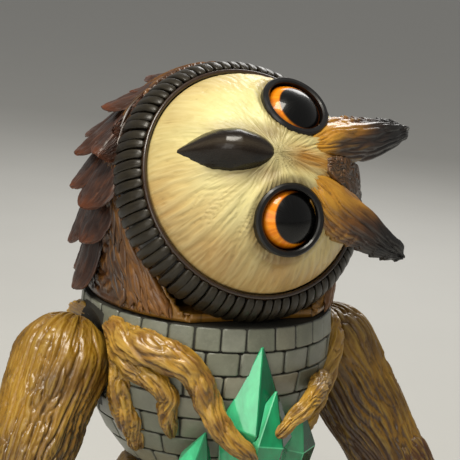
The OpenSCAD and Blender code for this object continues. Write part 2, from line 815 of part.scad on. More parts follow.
module wing_tier(side, tier) {
    color(russet) wing_frame(side) difference() {
        translate(wrist + [tier[0], 0, tier[1]]) rotate([0, -wing_lean, 0])
            for (i = [0 : tier[4] - 1]) rotate([tier[6] + i * tier[5], 0, 0]) quill(tier[2], tier[3]);
        arm_form(glue);
        forearm_form(glue);
    }
}

module wing_axle(side) {
    color(steel) on_side(side) difference() {
        translate([wing_axle_in, 0, shoulder_z]) rotate([0, 90, 0])
            cylinder(r = wing_axle_r, h = wing_axle_out - wing_axle_in, $fn = 64);
        translate([wing_clip_x, 0, shoulder_z]) rotate([0, 90, 0])
            tube(wing_axle_r + past, wing_axle_r - clip_groove, clip_t);
    }
}

module wing_clip(side) {
    color(steel) on_side(side) translate([wing_clip_x, 0, shoulder_z]) rotate([0, 90, 0])
        tube(wing_axle_r + clip_w, wing_axle_r - clip_groove, clip_t);
}

// ---- the pieces ----------------------------------------------------------------------------------------

function wanted(name) = node == "all" || node == name;

if (wanted("tower_body")) tower_body();
if (wanted("neck_bush")) neck_bush();
if (wanted("haunches")) haunches();
if (wanted("waist_screw")) waist_screw();
if (wanted("tail_feathers")) tail_feathers();
if (wanted("roots_right")) roots_right();
if (wanted("roots_left")) roots_left();
if (wanted("crystal_tall")) crystal(0);
if (wanted("crystal_front")) crystal(1);
if (wanted("crystal_right")) crystal(2);
if (wanted("crystal_left")) crystal(3);
if (wanted("crystal_small")) crystal(4);
if (wanted("head_hood")) head_hood();
if (wanted("cheek_fur")) cheek_fur();
if (wanted("nape_feathers")) nape_feathers();
if (wanted("neck_post")) neck_post();
if (wanted("neck_clip")) neck_clip();
if (wanted("ribbed_ruff")) ribbed_ruff();
if (wanted("ruff_lip")) ruff_lip();
if (wanted("face_bush")) face_bush();
if (wanted("face_mask")) face_mask();
if (wanted("face_hub")) face_hub();
if (wanted("face_axle")) face_axle();
if (wanted("face_clip")) face_clip();
if (wanted("beak")) beak();
if (wanted("crown_patch")) crown_patch();
for (side = [-1, 1]) {
    end = side < 0 ? "_right" : "_left";
    if (wanted(str("leg", end))) leg(side);
    if (wanted(str("foot", end))) foot(side);
    if (wanted(str("talons", end))) talons(side);
    if (wanted(str("wing_bush", end))) wing_bush(side);
    if (wanted(str("brow_tuft", end))) brow_tuft(side);
    if (wanted(str("eye_rim", end))) eye_rim(side);
    if (wanted(str("eye_iris", end))) eye_iris(side);
    if (wanted(str("eye_glass", end))) eye_glass(side);
    if (wanted(str("wing_arm", end))) wing_arm(side);
    if (wanted(str("wing_forearm", end))) wing_forearm(side);
    if (wanted(str("wing_coverts", end))) wing_tier(side, coverts);
    if (wanted(str("wing_secondaries", end))) wing_tier(side, secondaries);
    if (wanted(str("wing_primaries", end))) wing_tier(side, primaries);
    if (wanted(str("wing_axle", end))) wing_axle(side);
    if (wanted(str("wing_clip", end))) wing_clip(side);
}
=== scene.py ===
"""An owl figurine: a turning face, a feathered head, a brick tower, wing arms, roots and crystals."""

import json
import logging
import math
from dataclasses import dataclass
from enum import Enum
from typing import Sequence, Union

import bmesh
import bpy
import numpy as np
from mathutils import Matrix, Vector

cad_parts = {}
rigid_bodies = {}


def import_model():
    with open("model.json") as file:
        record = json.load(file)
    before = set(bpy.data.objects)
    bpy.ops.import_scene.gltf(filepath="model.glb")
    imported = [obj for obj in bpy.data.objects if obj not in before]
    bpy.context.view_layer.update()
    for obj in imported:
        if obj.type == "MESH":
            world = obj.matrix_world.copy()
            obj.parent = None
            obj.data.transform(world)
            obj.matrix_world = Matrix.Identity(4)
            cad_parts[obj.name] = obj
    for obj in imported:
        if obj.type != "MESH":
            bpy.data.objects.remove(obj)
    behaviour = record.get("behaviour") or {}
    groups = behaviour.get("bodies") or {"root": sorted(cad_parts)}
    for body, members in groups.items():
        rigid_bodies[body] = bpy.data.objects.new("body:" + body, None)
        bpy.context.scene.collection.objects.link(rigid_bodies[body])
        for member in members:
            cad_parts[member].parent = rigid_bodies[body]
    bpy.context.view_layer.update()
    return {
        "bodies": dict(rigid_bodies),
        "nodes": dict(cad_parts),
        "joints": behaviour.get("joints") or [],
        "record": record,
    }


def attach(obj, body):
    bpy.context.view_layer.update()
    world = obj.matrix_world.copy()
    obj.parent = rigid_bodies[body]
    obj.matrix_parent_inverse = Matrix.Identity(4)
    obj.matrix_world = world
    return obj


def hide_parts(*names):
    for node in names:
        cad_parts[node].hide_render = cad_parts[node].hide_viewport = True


LOG = logging.getLogger("owl")
Array = np.ndarray
MM = 0.001


# ---- numbers ------------------------------------------------------------------------------------


def linear(code: str) -> Array:
    """Turns an sRGB hex colour into linear light.

    Args:
        code: Six hex digits.

    Returns:
        Red, green, blue and alpha as linear values.
    """
    parts = np.array([int(code[i : i + 2], 16) / 255 for i in (0, 2, 4)])
    flat = np.where(parts <= 0.04045, parts / 12.92, ((parts + 0.055) / 1.055) ** 2.4)
    return np.append(flat, 1.0)


def blend(low: Array, high: Array, part: Array) -> Array:
    """Blends two colours point by point.

    Args:
        low: Colour where part is 0, one for all points or one each.
        high: Colour where part is 1.
        part: One value for each point.

    Returns:
        One colour for each point.
    """
    return low + (high - low) * np.clip(part, 0, 1)[:, None]


def ease(value: Array, low: float, high: float) -> Array:
    """Climbs smoothly from 0 at low to 1 at high.

    Args:
        value: Where to look.
        low: Value at which the climb starts.
        high: Value at which it ends; it may be the smaller one.

    Returns:
        Values from 0 to 1.
    """
    part = np.clip((value - low) / (high - low), 0, 1)
    return part * part * (3 - 2 * part)


def unit(vectors: Array) -> Array:
    """Gives vectors a length of one."""
    return vectors / np.maximum(np.linalg.norm(vectors, axis=-1, keepdims=True), 1e-9)


def turned(axis: str, degrees: float) -> Array:
    """Gives the 3 by 3 matrix that turns a column vector about one axis.

    Args:
        axis: X, Y or Z.
        degrees: Angle of the turn.

    Returns:
        The matrix.
    """
    return np.array(Matrix.Rotation(math.radians(degrees), 3, axis))


def spline(knots: Array, which: Array, part: Array) -> Array:
    """Runs a smooth line through knots.

    Args:
        knots: Values of shape (lines, knots, ...).
        which: The line that each point is on.
        part: How far along its line each point is, from 0 to 1.

    Returns:
        One value for each point.
    """
    last = knots.shape[1] - 1
    far = np.clip(part, 0, 1) * last
    at = np.minimum(far.astype(int), last - 1)
    f = (far - at).reshape(-1, *[1] * (knots.ndim - 2))
    a, b = knots[which, np.maximum(at - 1, 0)], knots[which, at]
    c, d = knots[which, at + 1], knots[which, np.minimum(at + 2, last)]
    square, cube = 2 * a - 5 * b + 4 * c - d, 3 * b - a - 3 * c + d
    return 0.5 * (2 * b + (c - a) * f + square * f**2 + cube * f**3)


def resample(points: Sequence[Sequence[float]], count: int) -> Array:
    """Spaces a line's knots evenly.

    Args:
        points: The knots as they were given.
        count: How many there are to be.

    Returns:
        The new knots.
    """
    given = np.array(points, float)
    steps = np.linalg.norm(np.diff(given[:, :3], axis=0), axis=1)
    reach = np.concatenate([[0], np.cumsum(steps)])
    even = np.linspace(0, reach[-1], count)
    return np.stack([np.interp(even, reach, column) for column in given.T], 1)


class Noise:
    """Smooth gradient noise in space, the same on every run."""

    def __init__(self, seed: int) -> None:
        """Draws the table of directions.

        Args:
            seed: Start of the random draw.
        """
        draw = np.random.default_rng(seed)
        order = draw.permutation(256)
        self.order = np.concatenate([order, order])
        self.way = unit(draw.normal(size=(256, 3)))

    def at(self, points: Array) -> Array:
        """Reads the noise.

        Args:
            points: Places in noise cells.

        Returns:
            Values from about -1 to 1.
        """
        cell = np.floor(points).astype(int)
        part = points - cell
        smooth = part**3 * (part * (part * 6 - 15) + 10)
        total = np.zeros(len(points))
        for corner in np.ndindex(2, 2, 2):
            near = (cell + corner) & 255
            pick = self.order[self.order[self.order[near[:, 0]] + near[:, 1]] + near[:, 2]]
            weight = np.prod(np.where(corner, smooth, 1 - smooth), axis=1)
            total += weight * np.einsum("ij,ij->i", self.way[pick], part - corner)
        return total * 1.6

    def strands(self, flow: Array, width: float, length: float, sway: float = 1.0) -> Array:
        """Lays rounded strands with sharp grooves along the flow.

        Args:
            flow: Place on the surface in millimetres, with y along the strands.
            width: Width of a strand.
            length: Length over which a strand changes.
            sway: How far the strands wander, in strand widths.

        Returns:
            Heights from 0 in a groove to 1 on a strand.
        """
        wander = width * 2 * sway
        drift = self.at(flow / (width * 7) + 11.3)[:, None] * np.array([wander, 0, wander])
        lane = (flow + drift) / np.array([width, length, width])
        return np.minimum(1, np.abs(self.at(lane)) * 3.0) ** 0.7


NOISE = Noise(5)


@dataclass(frozen=True)
class Axes:
    """A frame of its own inside the figure's frame, in millimetres.

    Its rows are the directions of its first, second and third axis.
    """

    origin: Array
    rows: Array

    def place(self, local: Array) -> Array:
        """Takes local points out into the figure's frame."""
        return self.origin + local @ self.rows

    def read(self, points: Array) -> Array:
        """Takes points of the figure's frame into this one."""
        return (points - self.origin) @ self.rows.T

    def within(self, origin: Sequence[float], matrix: Array) -> "Axes":
        """Makes a frame that is placed and turned inside this one.

        Args:
            origin: Its origin in this frame.
            matrix: The turn, for column vectors.

        Returns:
            The new frame.
        """
        return Axes(self.place(np.array(origin, float)), matrix.T @ self.rows)


FIGURE = Axes(np.zeros(3), np.eye(3))

# Height of the seam between the head and the tower.
NECK = 116.0

# The shoulder's ball: how far out it is, how high, and its radius.
SHOULDER_OUT = 47.5
SHOULDER_Z = 96.0
SHOULDER_R = 15.5

# The ruff's rim: its middle, and how far its opening leans back from straight up.
RIM_Y = -23.5
RIM_Z = NECK + 40.5
RIM_LEAN = 62.0
RIM = FIGURE.within((0, RIM_Y, RIM_Z), turned("X", RIM_LEAN))

# The face at rest, turned in the rim.
FACE = RIM.within((0, 0, 0), turned("Z", -102))

# Heights in the rim's frame: where the hood is cut off behind the ruff, and the planes that the
# paths of the locks, their surface and the feathers stay behind.
HOOD_CUT = -12.4
LOCK_PATHS = -13.6
LOCK_FRONT = -12.6
FEATHER_FRONT = -12.7

FRAME: dict[str, object] = {}


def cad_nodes() -> dict[str, bpy.types.Object]:
    """Gives the loaded nodes by name."""
    return FRAME["nodes"]


def side_name(side: int) -> str:
    """Names a side: -1 is the figure's right and 1 its left."""
    return "right" if side < 0 else "left"


def put(name: str, data: bpy.types.ID) -> bpy.types.Object:
    """Puts a new object into the scene.

    Args:
        name: Name of the object.
        data: Its mesh, light or camera.

    Returns:
        The object.
    """
    made = bpy.data.objects.new(name, data)
    bpy.context.scene.collection.objects.link(made)
    return made


def baked(bm: bmesh.types.BMesh, name: str) -> bpy.types.Mesh:
    """Turns a bmesh into a mesh.

    Args:
        bm: The bmesh, which is freed.
        name: Name of the mesh.

    Returns:
        The mesh.
    """
    mesh = bpy.data.meshes.new(name)
    bm.to_mesh(mesh)
    bm.free()
    return mesh


# ---- finishes -----------------------------------------------------------------------------------


def add(
    tree: bpy.types.NodeTree,
    kind: str,
    plugs: dict[Union[str, int], object] | None = None,
    **settings: object,
) -> bpy.types.Node:
    """Adds a node.

    Args:
        tree: Where it goes.
        kind: The node's type.
        plugs: What goes into its inputs, by name or number: a node's output, or a value.
        settings: Its own properties.

    Returns:
        The node.
    """
    made = tree.nodes.new(kind)
    for key, value in settings.items():
        setattr(made, key, value)
    for key, value in (plugs or {}).items():
        if isinstance(value, bpy.types.NodeSocket):
            tree.links.new(value, made.inputs[key])
        else:
            made.inputs[key].default_value = value
    return made


def blank(name: str) -> tuple[bpy.types.Material, bpy.types.NodeTree]:
    """Makes an empty material with nodes.

    Args:
        name: Name of the material.

    Returns:
        The material and its node tree.
    """
    material = bpy.data.materials.new(name)
    material.use_nodes = True
    material.node_tree.nodes.clear()
    return material, material.node_tree


@dataclass(frozen=True)
class BrushedPaint:
    """Acrylic on cast resin: airbrushed colours, a dark wash in the grooves, dry-brushed ridges.

    The surface carries the colours, the groove depth and the lay of the strokes. Lengths are in
    millimetres: stroke and run are a brush stroke's width and length, patch is the size of a
    mottled patch, and relief is the height of the strokes.
    """

    name: str
    groove: str
    ridge: str
    wash: float = 0.85
    glint: float = 0.5
    stroke: float = 0.45
    run: float = 4.0
    patch: float = 9.0
    mottle: float = 0.18
    relief: float = 0.12
    roughness: float = 0.42
    coat: float = 0.35
    coat_roughness: float = 0.22
    ior: float = 1.5

    def build(self) -> bpy.types.Material:
        """Mixes the material.

        Returns:
            The material.
        """
        material, tree = blank(self.name)
        paint = add(tree, "ShaderNodeAttribute", attribute_name="paint")
        depth = add(tree, "ShaderNodeAttribute", attribute_name="depth")
        flow = add(tree, "ShaderNodeAttribute", attribute_name="flow")
        across, along = 1 / self.stroke, 1 / self.run
        lay = add(
            tree,
            "ShaderNodeMapping",
            {"Vector": flow.outputs["Vector"], "Scale": (across, along, across)},
        )
        fine = add(
            tree, "ShaderNodeTexNoise", {"Vector": lay.outputs[0], "Scale": 1.0, "Detail": 3.0}
        )
        broad = add(
            tree,
            "ShaderNodeTexNoise",
            {"Vector": flow.outputs["Vector"], "Scale": 1 / self.patch},
        )
        tone = add(
            tree,
            "ShaderNodeMapRange",
            {0: broad.outputs[0], 1: 0.3, 2: 0.7, 3: 1 - self.mottle, 4: 1 + self.mottle},
        )
        colour = add(
            tree,
            "ShaderNodeMix",
            {0: 1.0, 6: paint.outputs["Color"], 7: tone.outputs[0]},
            data_type="RGBA",
            blend_type="MULTIPLY",
        )
        ragged = add(
            tree,
            "ShaderNodeMath",
            {0: fine.outputs[0], 1: 0.7, 2: depth.outputs["Fac"]},
            operation="MULTIPLY_ADD",
        )
        low = add(
            tree,
            "ShaderNodeMapRange",
            {0: ragged.outputs[0], 1: 0.85, 2: 0.3, 3: 0.0, 4: self.wash},
        )
        high = add(
            tree,
            "ShaderNodeMapRange",
            {0: ragged.outputs[0], 1: 1.05, 2: 1.5, 3: 0.0, 4: self.glint},
        )
        washed = add(
            tree,
            "ShaderNodeMix",
            {0: low.outputs[0], 6: colour.outputs[2], 7: linear(self.groove)},
            data_type="RGBA",
        )
        brushed = add(
            tree,
            "ShaderNodeMix",
            {0: high.outputs[0], 6: washed.outputs[2], 7: linear(self.ridge)},
            data_type="RGBA",
        )
        bump = add(
            tree,
            "ShaderNodeBump",
            {"Height": fine.outputs[0], "Strength": 0.8, "Distance": self.relief * MM},
        )
        rough = add(
            tree,
            "ShaderNodeMapRange",
            {0: fine.outputs[0], 1: 0.3, 2: 0.7, 3: self.roughness - 0.08, 4: self.roughness + 0.1},
        )
        shader = add(
            tree,
            "ShaderNodeBsdfPrincipled",
            {
                "Base Color": brushed.outputs[2],
                "Roughness": rough.outputs[0],
                "Normal": bump.outputs[0],
                "IOR": self.ior,
                "Coat Weight": self.coat,
                "Coat Roughness": self.coat_roughness,
            },
        )
        add(tree, "ShaderNodeOutputMaterial", {"Surface": shader.outputs[0]})
        return material


@dataclass(frozen=True)
class Moulded:
    """A moulded or turned part in one colour with a fine grain. Lengths are in millimetres."""

    name: str
    light: str
    dark: str
    grain: float = 1.2
    relief: float = 0.04
    roughness: float = 0.4
    metallic: float = 0.0
    coat: float = 0.0

    def build(self) -> bpy.types.Material:
        """Mixes the material.

        Returns:
            The material.
        """
        material, tree = blank(self.name)
        where = add(tree, "ShaderNodeTexCoord")
        grain = add(
            tree,
            "ShaderNodeTexNoise",
            {"Vector": where.outputs["Object"], "Scale": 1000 / self.grain, "Detail": 4.0},
        )
        colour = add(
            tree,
            "ShaderNodeMix",
            {0: grain.outputs[0], 6: linear(self.dark), 7: linear(self.light)},
            data_type="RGBA",
        )
        bump = add(
            tree,
            "ShaderNodeBump",
            {"Height": grain.outputs[0], "Strength": 0.6, "Distance": self.relief * MM},
        )
        rough = add(
            tree,
            "ShaderNodeMapRange",
            {0: grain.outputs[0], 1: 0.3, 2: 0.7, 3: self.roughness - 0.05, 4: self.roughness + 0.08},
        )
        shader = add(
            tree,
            "ShaderNodeBsdfPrincipled",
            {
                "Base Color": colour.outputs[2],
                "Roughness": rough.outputs[0],
                "Normal": bump.outputs[0],
                "Metallic": self.metallic,
                "Coat Weight": self.coat,
                "Coat Roughness": 0.1,
            },
        )
        add(tree, "ShaderNodeOutputMaterial", {"Surface": shader.outputs[0]})
        return material


@dataclass(frozen=True)
class CastGem:
    """Clear-tinted cast resin, cloudy inside and glossy, with painted light and shade on its facets.

    Lengths are in millimetres: cloud is the size of a cloud, and the haze's ripple is 0.3.
    """

    name: str = "emerald_cast_resin"
    cloud: float = 7.0
    roughness: float = 0.16

    def build(self) -> bpy.types.Material:
        """Mixes the material.

        Returns:
            The material.
        """
        material, tree = blank(self.name)
        paint = add(tree, "ShaderNodeAttribute", attribute_name="paint")
        where = add(tree, "ShaderNodeTexCoord")
        lay = add(
            tree,
            "ShaderNodeMapping",
            {"Vector": where.outputs["Object"], "Scale": (1.6, 1.6, 0.55)},
        )
        cloud = add(
            tree,
            "ShaderNodeTexNoise",
            {"Vector": lay.outputs[0], "Scale": 1000 / self.cloud, "Detail": 4.0, "Distortion": 0.6},
        )
        tone = add(tree, "ShaderNodeMapRange", {0: cloud.outputs[0], 1: 0.3, 2: 0.7, 3: 0.7, 4: 1.3})
        colour = add(
            tree,
            "ShaderNodeMix",
            {0: 1.0, 6: paint.outputs["Color"], 7: tone.outputs[0]},
            data_type="RGBA",
            blend_type="MULTIPLY",
        )
        bump = add(
            tree,
            "ShaderNodeBump",
            {"Height": cloud.outputs[0], "Strength": 0.35, "Distance": 0.3 * MM},
        )
        shader = add(
            tree,
            "ShaderNodeBsdfPrincipled",
            {
                "Base Color": colour.outputs[2],
                "Roughness": self.roughness,
                "Normal": bump.outputs[0],
                "Subsurface Weight": 0.25,
                "Subsurface Radius": (0.002, 0.006, 0.005),
                "Subsurface Scale": 0.6,
                "IOR": 1.52,
                "Coat Weight": 0.8,
                "Coat Roughness": 0.06,
            },
        )
        add(tree, "ShaderNodeOutputMaterial", {"Surface": shader.outputs[0]})
        return material


class Finish(Enum):
    """The figurine's finishes, each named for what it is."""

    # Matt cream acrylic on cast resin, brushed outwards from the beak, with a thin brown wash:
    # soft and chalky, with fine hairs. Drawn a few times as wide as a real bristle's strokes.
    MASK = BrushedPaint(
        "cream_face_paint", groove="7c561c", ridge="f4e8b0", wash=0.62, glint=0.26, stroke=0.7,
        run=6.0, patch=11.0, mottle=0.12, relief=0.2, roughness=0.46, coat=0.2,
        coat_roughness=0.3,
    )
    # Ochre acrylic on cast resin, a dark wash in deep grooves and satin varnish: ridges catch the
    # light and grooves go nearly black. The brush strokes are drawn coarser, so that they show.
    OCHRE = BrushedPaint(
        "ochre_limb_paint", groove="221403", ridge="c9a640", wash=0.94, glint=0.42, stroke=0.75,
        run=12.0, patch=12.0, mottle=0.18, relief=0.25, roughness=0.4, coat=0.4,
        coat_roughness=0.2,
    )
    # Golden acrylic on cast resin, rubbed bright on the ridges, with a coat of varnish: it looks
    # like worn gilt wood.
    ROOT = BrushedPaint(
        "golden_root_paint", groove="331b08", ridge="dcb452", wash=0.92, glint=0.55, stroke=0.5,
        run=3.5, patch=7.0, mottle=0.25, relief=0.18, roughness=0.38, coat=0.5,
        coat_roughness=0.2,
    )
    # Brown-gold acrylic on cast resin with a heavy dark wash: single hairs stand out of the dark.
    FUR = BrushedPaint(
        "golden_fur_paint", groove="120902", ridge="a8701c", wash=0.94, glint=0.5, stroke=0.7,
        run=7.0, patch=8.0, mottle=0.22, relief=0.22, roughness=0.4, coat=0.4,
        coat_roughness=0.22,
    )
    # Russet acrylic on cast resin, dry-brushed along the barbs: dark vanes with warm edges.
    FEATHER = BrushedPaint(
        "russet_feather_paint", groove="0c0502", ridge="7a431b", wash=0.94, glint=0.45,
        stroke=0.85, run=16.0, patch=10.0, mottle=0.25, relief=0.5, roughness=0.42, coat=0.3,
        coat_roughness=0.25,
    )
    # Olive-black acrylic on cast resin with a thin gloss varnish: each rib has one highlight.
    RIB = BrushedPaint(
        "olive_black_rib_paint", groove="040301", ridge="3a3320", wash=0.9, glint=0.3,
        stroke=0.7, run=4.0, patch=6.0, mottle=0.2, relief=0.1, roughness=0.4, coat=0.12,
        coat_roughness=0.12, ior=1.4,
    )
    # Brown-black lacquer on cast resin, polished: a long clean highlight along the keel, which on the
    # beak is also painted on.
    HORN = BrushedPaint(
        "dark_horn_paint", groove="080402", ridge="40382c", wash=0.5, glint=0.2, stroke=0.5,
        run=6.0, patch=7.0, mottle=0.15, relief=0.06, roughness=0.26, coat=0.3,
        coat_roughness=0.06, ior=1.3,
    )
    # Ochre acrylic airbrushed into black on cast resin, with satin varnish: gold strands that sink
    # into the dark.
    TUFT = BrushedPaint(
        "brow_tuft_paint", groove="160c05", ridge="d8ac48", wash=0.92, glint=0.3, stroke=0.8,
        run=12.0, patch=7.0, mottle=0.2, relief=0.3, roughness=0.38, coat=0.5,
        coat_roughness=0.2,
    )
    # Grey-green acrylic on cast resin, stippled with a sponge, with satin varnish: slightly gritty
    # bricks with darker edges.
    STONE = BrushedPaint(
        "grey_brick_paint", groove="1d1d18", ridge="a3a595", wash=0.85, glint=0.3, stroke=0.9,
        run=0.9, patch=6.0, mottle=0.14, relief=0.12, roughness=0.42, coat=0.3,
        coat_roughness=0.3,
    )
    # Clear glass painted on its back: the paint looks wet and has one sharp highlight.
    IRIS = BrushedPaint(
        "back_painted_glass", groove="7a3204", ridge="ffb63a", wash=0.0, glint=0.0, stroke=0.5,
        run=4.0, patch=6.0, mottle=0.08, relief=0.0, roughness=0.3, coat=0.45,
        coat_roughness=0.02, ior=1.25,
    )
    # Brown acrylic on cast resin under the feet's scales: dull leather.
    SKIN = Moulded(
        "foot_skin_paint", light="523a20", dark="261a0f", grain=1.6, relief=0.3, roughness=0.5,
        metallic=0.0, coat=0.2,
    )
    # Dark grey filler between the bricks: dry and matt. Its grit is drawn about twice as coarse.
    MORTAR = Moulded(
        "dark_mortar_paint", light="33322a", dark="1a1a15", grain=0.8, relief=0.15,
        roughness=0.7,
    )
    # Black enamel on a turned ring: deep black with a soft highlight.
    RIM = Moulded(
        "black_gloss_eye_rim", light="0b0908", dark="030202", grain=3.0, relief=0.02,
        roughness=0.36, metallic=0.0, coat=0.15,
    )
    # Dark brown lacquer on cast resin: smooth, with a warm gloss along its rounded edge.
    LIP = Moulded(
        "dark_brown_lip_paint", light="3b2818", dark="21150c", grain=2.0, relief=0.05,
        roughness=0.3, metallic=0.0, coat=0.5,
    )
    # Black-brown cast resin, as it left the mould: only its thin edges show between the ribs.
    CORE = Moulded(
        "black_brown_resin", light="17120c", dark="0a0705", grain=2.0, relief=0.06,
        roughness=0.45, metallic=0.0, coat=0.3,
    )
    # Clear-tinted cast resin: light goes a little way in, and polished facets mirror the lamps.
    GEM = CastGem()
    # Turned and zinc-plated steel of the axles, clips and screw: pale, with fine turning marks.
    STEEL = Moulded(
        "turned_steel", light="b9bbbf", dark="96989c", grain=0.7, relief=0.01, roughness=0.28,
        metallic=1.0,
    )
    # Natural moulded nylon of the bushes: milky white with a faint sheen.
    NYLON = Moulded(
        "moulded_nylon", light="e6e4d8", dark="d6d3c4", grain=1.5, relief=0.02, roughness=0.42,
    )


# The materials that have been mixed so far.
BUILT: dict[Finish, bpy.types.Material] = {}


def coat_of(finish: Finish) -> bpy.types.Material:
    """Gives a finish's material and mixes it the first time.

    Args:
        finish: The finish.

    Returns:
        Its material.
    """
    if finish not in BUILT:
        BUILT[finish] = finish.value.build()
    return BUILT[finish]


# ---- clay ---------------------------------------------------------------------------------------


class Clay:
    """Modelling clay: balls, sheets or blocks, shaped as whole arrays in millimetres."""

    def __init__(self, bm: bmesh.types.BMesh, copies: int) -> None:
        """Takes a bmesh of equal copies over.

        Args:
            bm: The bmesh, which is freed.
            copies: How many equal copies it holds.
        """
        self.mesh = baked(bm, "clay")
        count = len(self.mesh.vertices)
        flat = np.empty(count * 3)
        self.mesh.vertices.foreach_get("co", flat)
        self.raw = flat.reshape(-1, 3)
        self.place = self.raw.copy()
        self.which = np.arange(count) // (count // copies)
        self.flow = self.raw * 10
        self.depth = np.full(count, 0.7)
        self.paint = np.ones((count, 4))
        self.turn = np.arctan2(self.raw[:, 1], self.raw[:, 0])
        self.run = np.arccos(np.clip(self.raw[:, 2], -1, 1)) / math.pi

    @classmethod
    def balls(cls, count: int, around: int, along: int) -> "Clay":
        """Rolls balls that are then drawn out or thrown.

        Args:
            count: How many.
            around: Points round each ball.
            along: Rings from pole to pole.

        Returns:
            The clay, with turn round each ball and run from its top pole to its bottom one.
        """
        one = bmesh.new()
        bmesh.ops.create_grid(one, x_segments=around, y_segments=along, size=1.0)
        for point in one.verts:
            turn, run = (point.co.x + 1) * math.pi, (1 - point.co.y) / 2 * math.pi
            r = math.sin(run)
            point.co = (r * math.cos(turn), r * math.sin(turn), math.cos(run))
        rim = [v for v in one.verts if v.is_boundary]
        bmesh.ops.remove_doubles(one, verts=rim, dist=1e-5)
        return cls(cls.repeat(one, count), count)

    @staticmethod
    def repeat(one: bmesh.types.BMesh, count: int) -> bmesh.types.BMesh:
        """Repeats a shape in place.

        Args:
            one: The shape, which is freed unless it is the only copy.
            count: How many copies are wanted.

        Returns:
            A bmesh of the copies.
        """
        if count == 1:
            return one
        shape = baked(one, "shape")
        bm = bmesh.new()
        for _ in range(count):
            bm.from_mesh(shape)
        bpy.data.meshes.remove(shape)
        return bm

    @classmethod
    def sheets(cls, count: int, across: int, along: int) -> "Clay":
        """Rolls flat sheets, whose raw x and y go from -1 to 1.

        Args:
            count: How many.
            across: Cells across.
            along: Cells along.

        Returns:
            The clay.
        """
        bm = bmesh.new()
        for _ in range(count):
            bmesh.ops.create_grid(bm, x_segments=across, y_segments=along, size=1.0)
        return cls(bm, count)

    @classmethod
    def blocks(cls, count: int, cells: int, edge: float) -> "Clay":
        """Cuts blocks with rounded edges, whose raw values go from -1 to 1.

        Args:
            count: How many.
            cells: Cells along x.
            edge: Rounding of the edges, as a part of half the block.

        Returns:
            The clay.
        """
        one = bmesh.new()
        bmesh.ops.create_cube(one, size=2.0)
        bmesh.ops.bevel(
            one,
            geom=one.edges[:],
            offset=edge,
            offset_type="OFFSET",
            affect="EDGES",
            segments=1,
            profile=0.5,
            material=-1,
        )
        long = [e for e in one.edges if abs(e.verts[0].co.x - e.verts[1].co.x) > 1]
        bmesh.ops.subdivide_edges(one, edges=long, cuts=cells - 1)
        return cls(cls.repeat(one, count), count)

    def normals(self) -> Array:
        """Reads the direction in which each point of the clay faces.

        Returns:
            One unit vector for each point.
        """
        self.mesh.vertices.foreach_set("co", self.place.ravel())
        self.mesh.update()
        flat = np.empty(self.place.size)
        self.mesh.vertices.foreach_get("normal", flat)
        return flat.reshape(-1, 3)

    def press(self, height: Array) -> None:
        """Moves the surface out, or in where height is negative."""
        self.place = self.place + self.normals() * np.asarray(height)[:, None]

    def draw(
        self,
        paths: Array,
        wide: Array,
        thick: Array,
        faces: Array,
        blunt: float = 4.0,
        bow: float = 0.0,
        square: float = 1.0,
    ) -> tuple[Array, Array]:
        """Draws each ball out along a path of its own.

        Args:
            paths: Knots of shape (balls, knots, 3).
            wide: Half width at each knot, of shape (balls, knots).
            thick: Half thickness at each knot.
            faces: The way that the broad side faces at each knot, as paths.
            blunt: 2 for ends like an egg's, and more for blunter ones.
            bow: How far the broad side bows, as a part of the half width.
            square: 1 for an oval section, and less for a squarer one.

        Returns:
            How far along its path each point is, and how far across, from -1 to 1.
        """
        far = (1 - np.cos(self.run * math.pi)) / 2
        close = np.sqrt(np.maximum(0, 1 - np.abs(2 * far - 1) ** blunt))
        middle = spline(paths, self.which, far)
        step = 0.02
        after = spline(paths, self.which, np.minimum(far + step, 1))
        before = spline(paths, self.which, np.maximum(far - step, 0))
        ahead = unit(after - before)
        side = unit(np.cross(ahead, spline(faces, self.which, far)))
        up = np.cross(side, ahead)
        half = spline(wide, self.which, far) * close
        rise = spline(thick, self.which, far) * close
        across = np.cos(self.turn)
        arch = np.sign(np.sin(self.turn)) * np.abs(np.sin(self.turn)) ** square
        lift = arch * rise - bow * half * across**2
        self.place = middle + side * (half * across)[:, None] + up * lift[:, None]
        apart = 37.0
        size = wide.max(axis=1)[self.which]
        deep = thick.max(axis=1)[self.which]
        reach = np.linalg.norm(np.diff(paths, axis=1), axis=2).sum(axis=1)[self.which]
        along = far * reach + self.which * apart
        self.flow = np.stack([across * size, along, np.sin(self.turn) * deep], 1)
        return far, across

    def throw(self, profile: Array, axes: Axes, reach: float) -> Array:
        """Throws one ball into a round form about the third axis of a frame.

        Args:
            profile: Rows of part of the way, radius and height.
            axes: The frame.
            reach: Radius on which the strokes are laid, in millimetres.

        Returns:
            The points in that frame.
        """
        r = np.interp(self.run, profile[:, 0], profile[:, 1])
        w = np.interp(self.run, profile[:, 0], profile[:, 2])
        local = np.stack([r * np.cos(self.turn), r * np.sin(self.turn), w], 1)
        steps = np.hypot(np.diff(profile[:, 1]), np.diff(profile[:, 2]))
        gone = np.interp(self.run, profile[:, 0], np.concatenate([[0], np.cumsum(steps)]))
        self.flow = np.stack([np.cos(self.turn) * reach, gone, np.sin(self.turn) * reach], 1)
        self.place = axes.place(local)
        return local

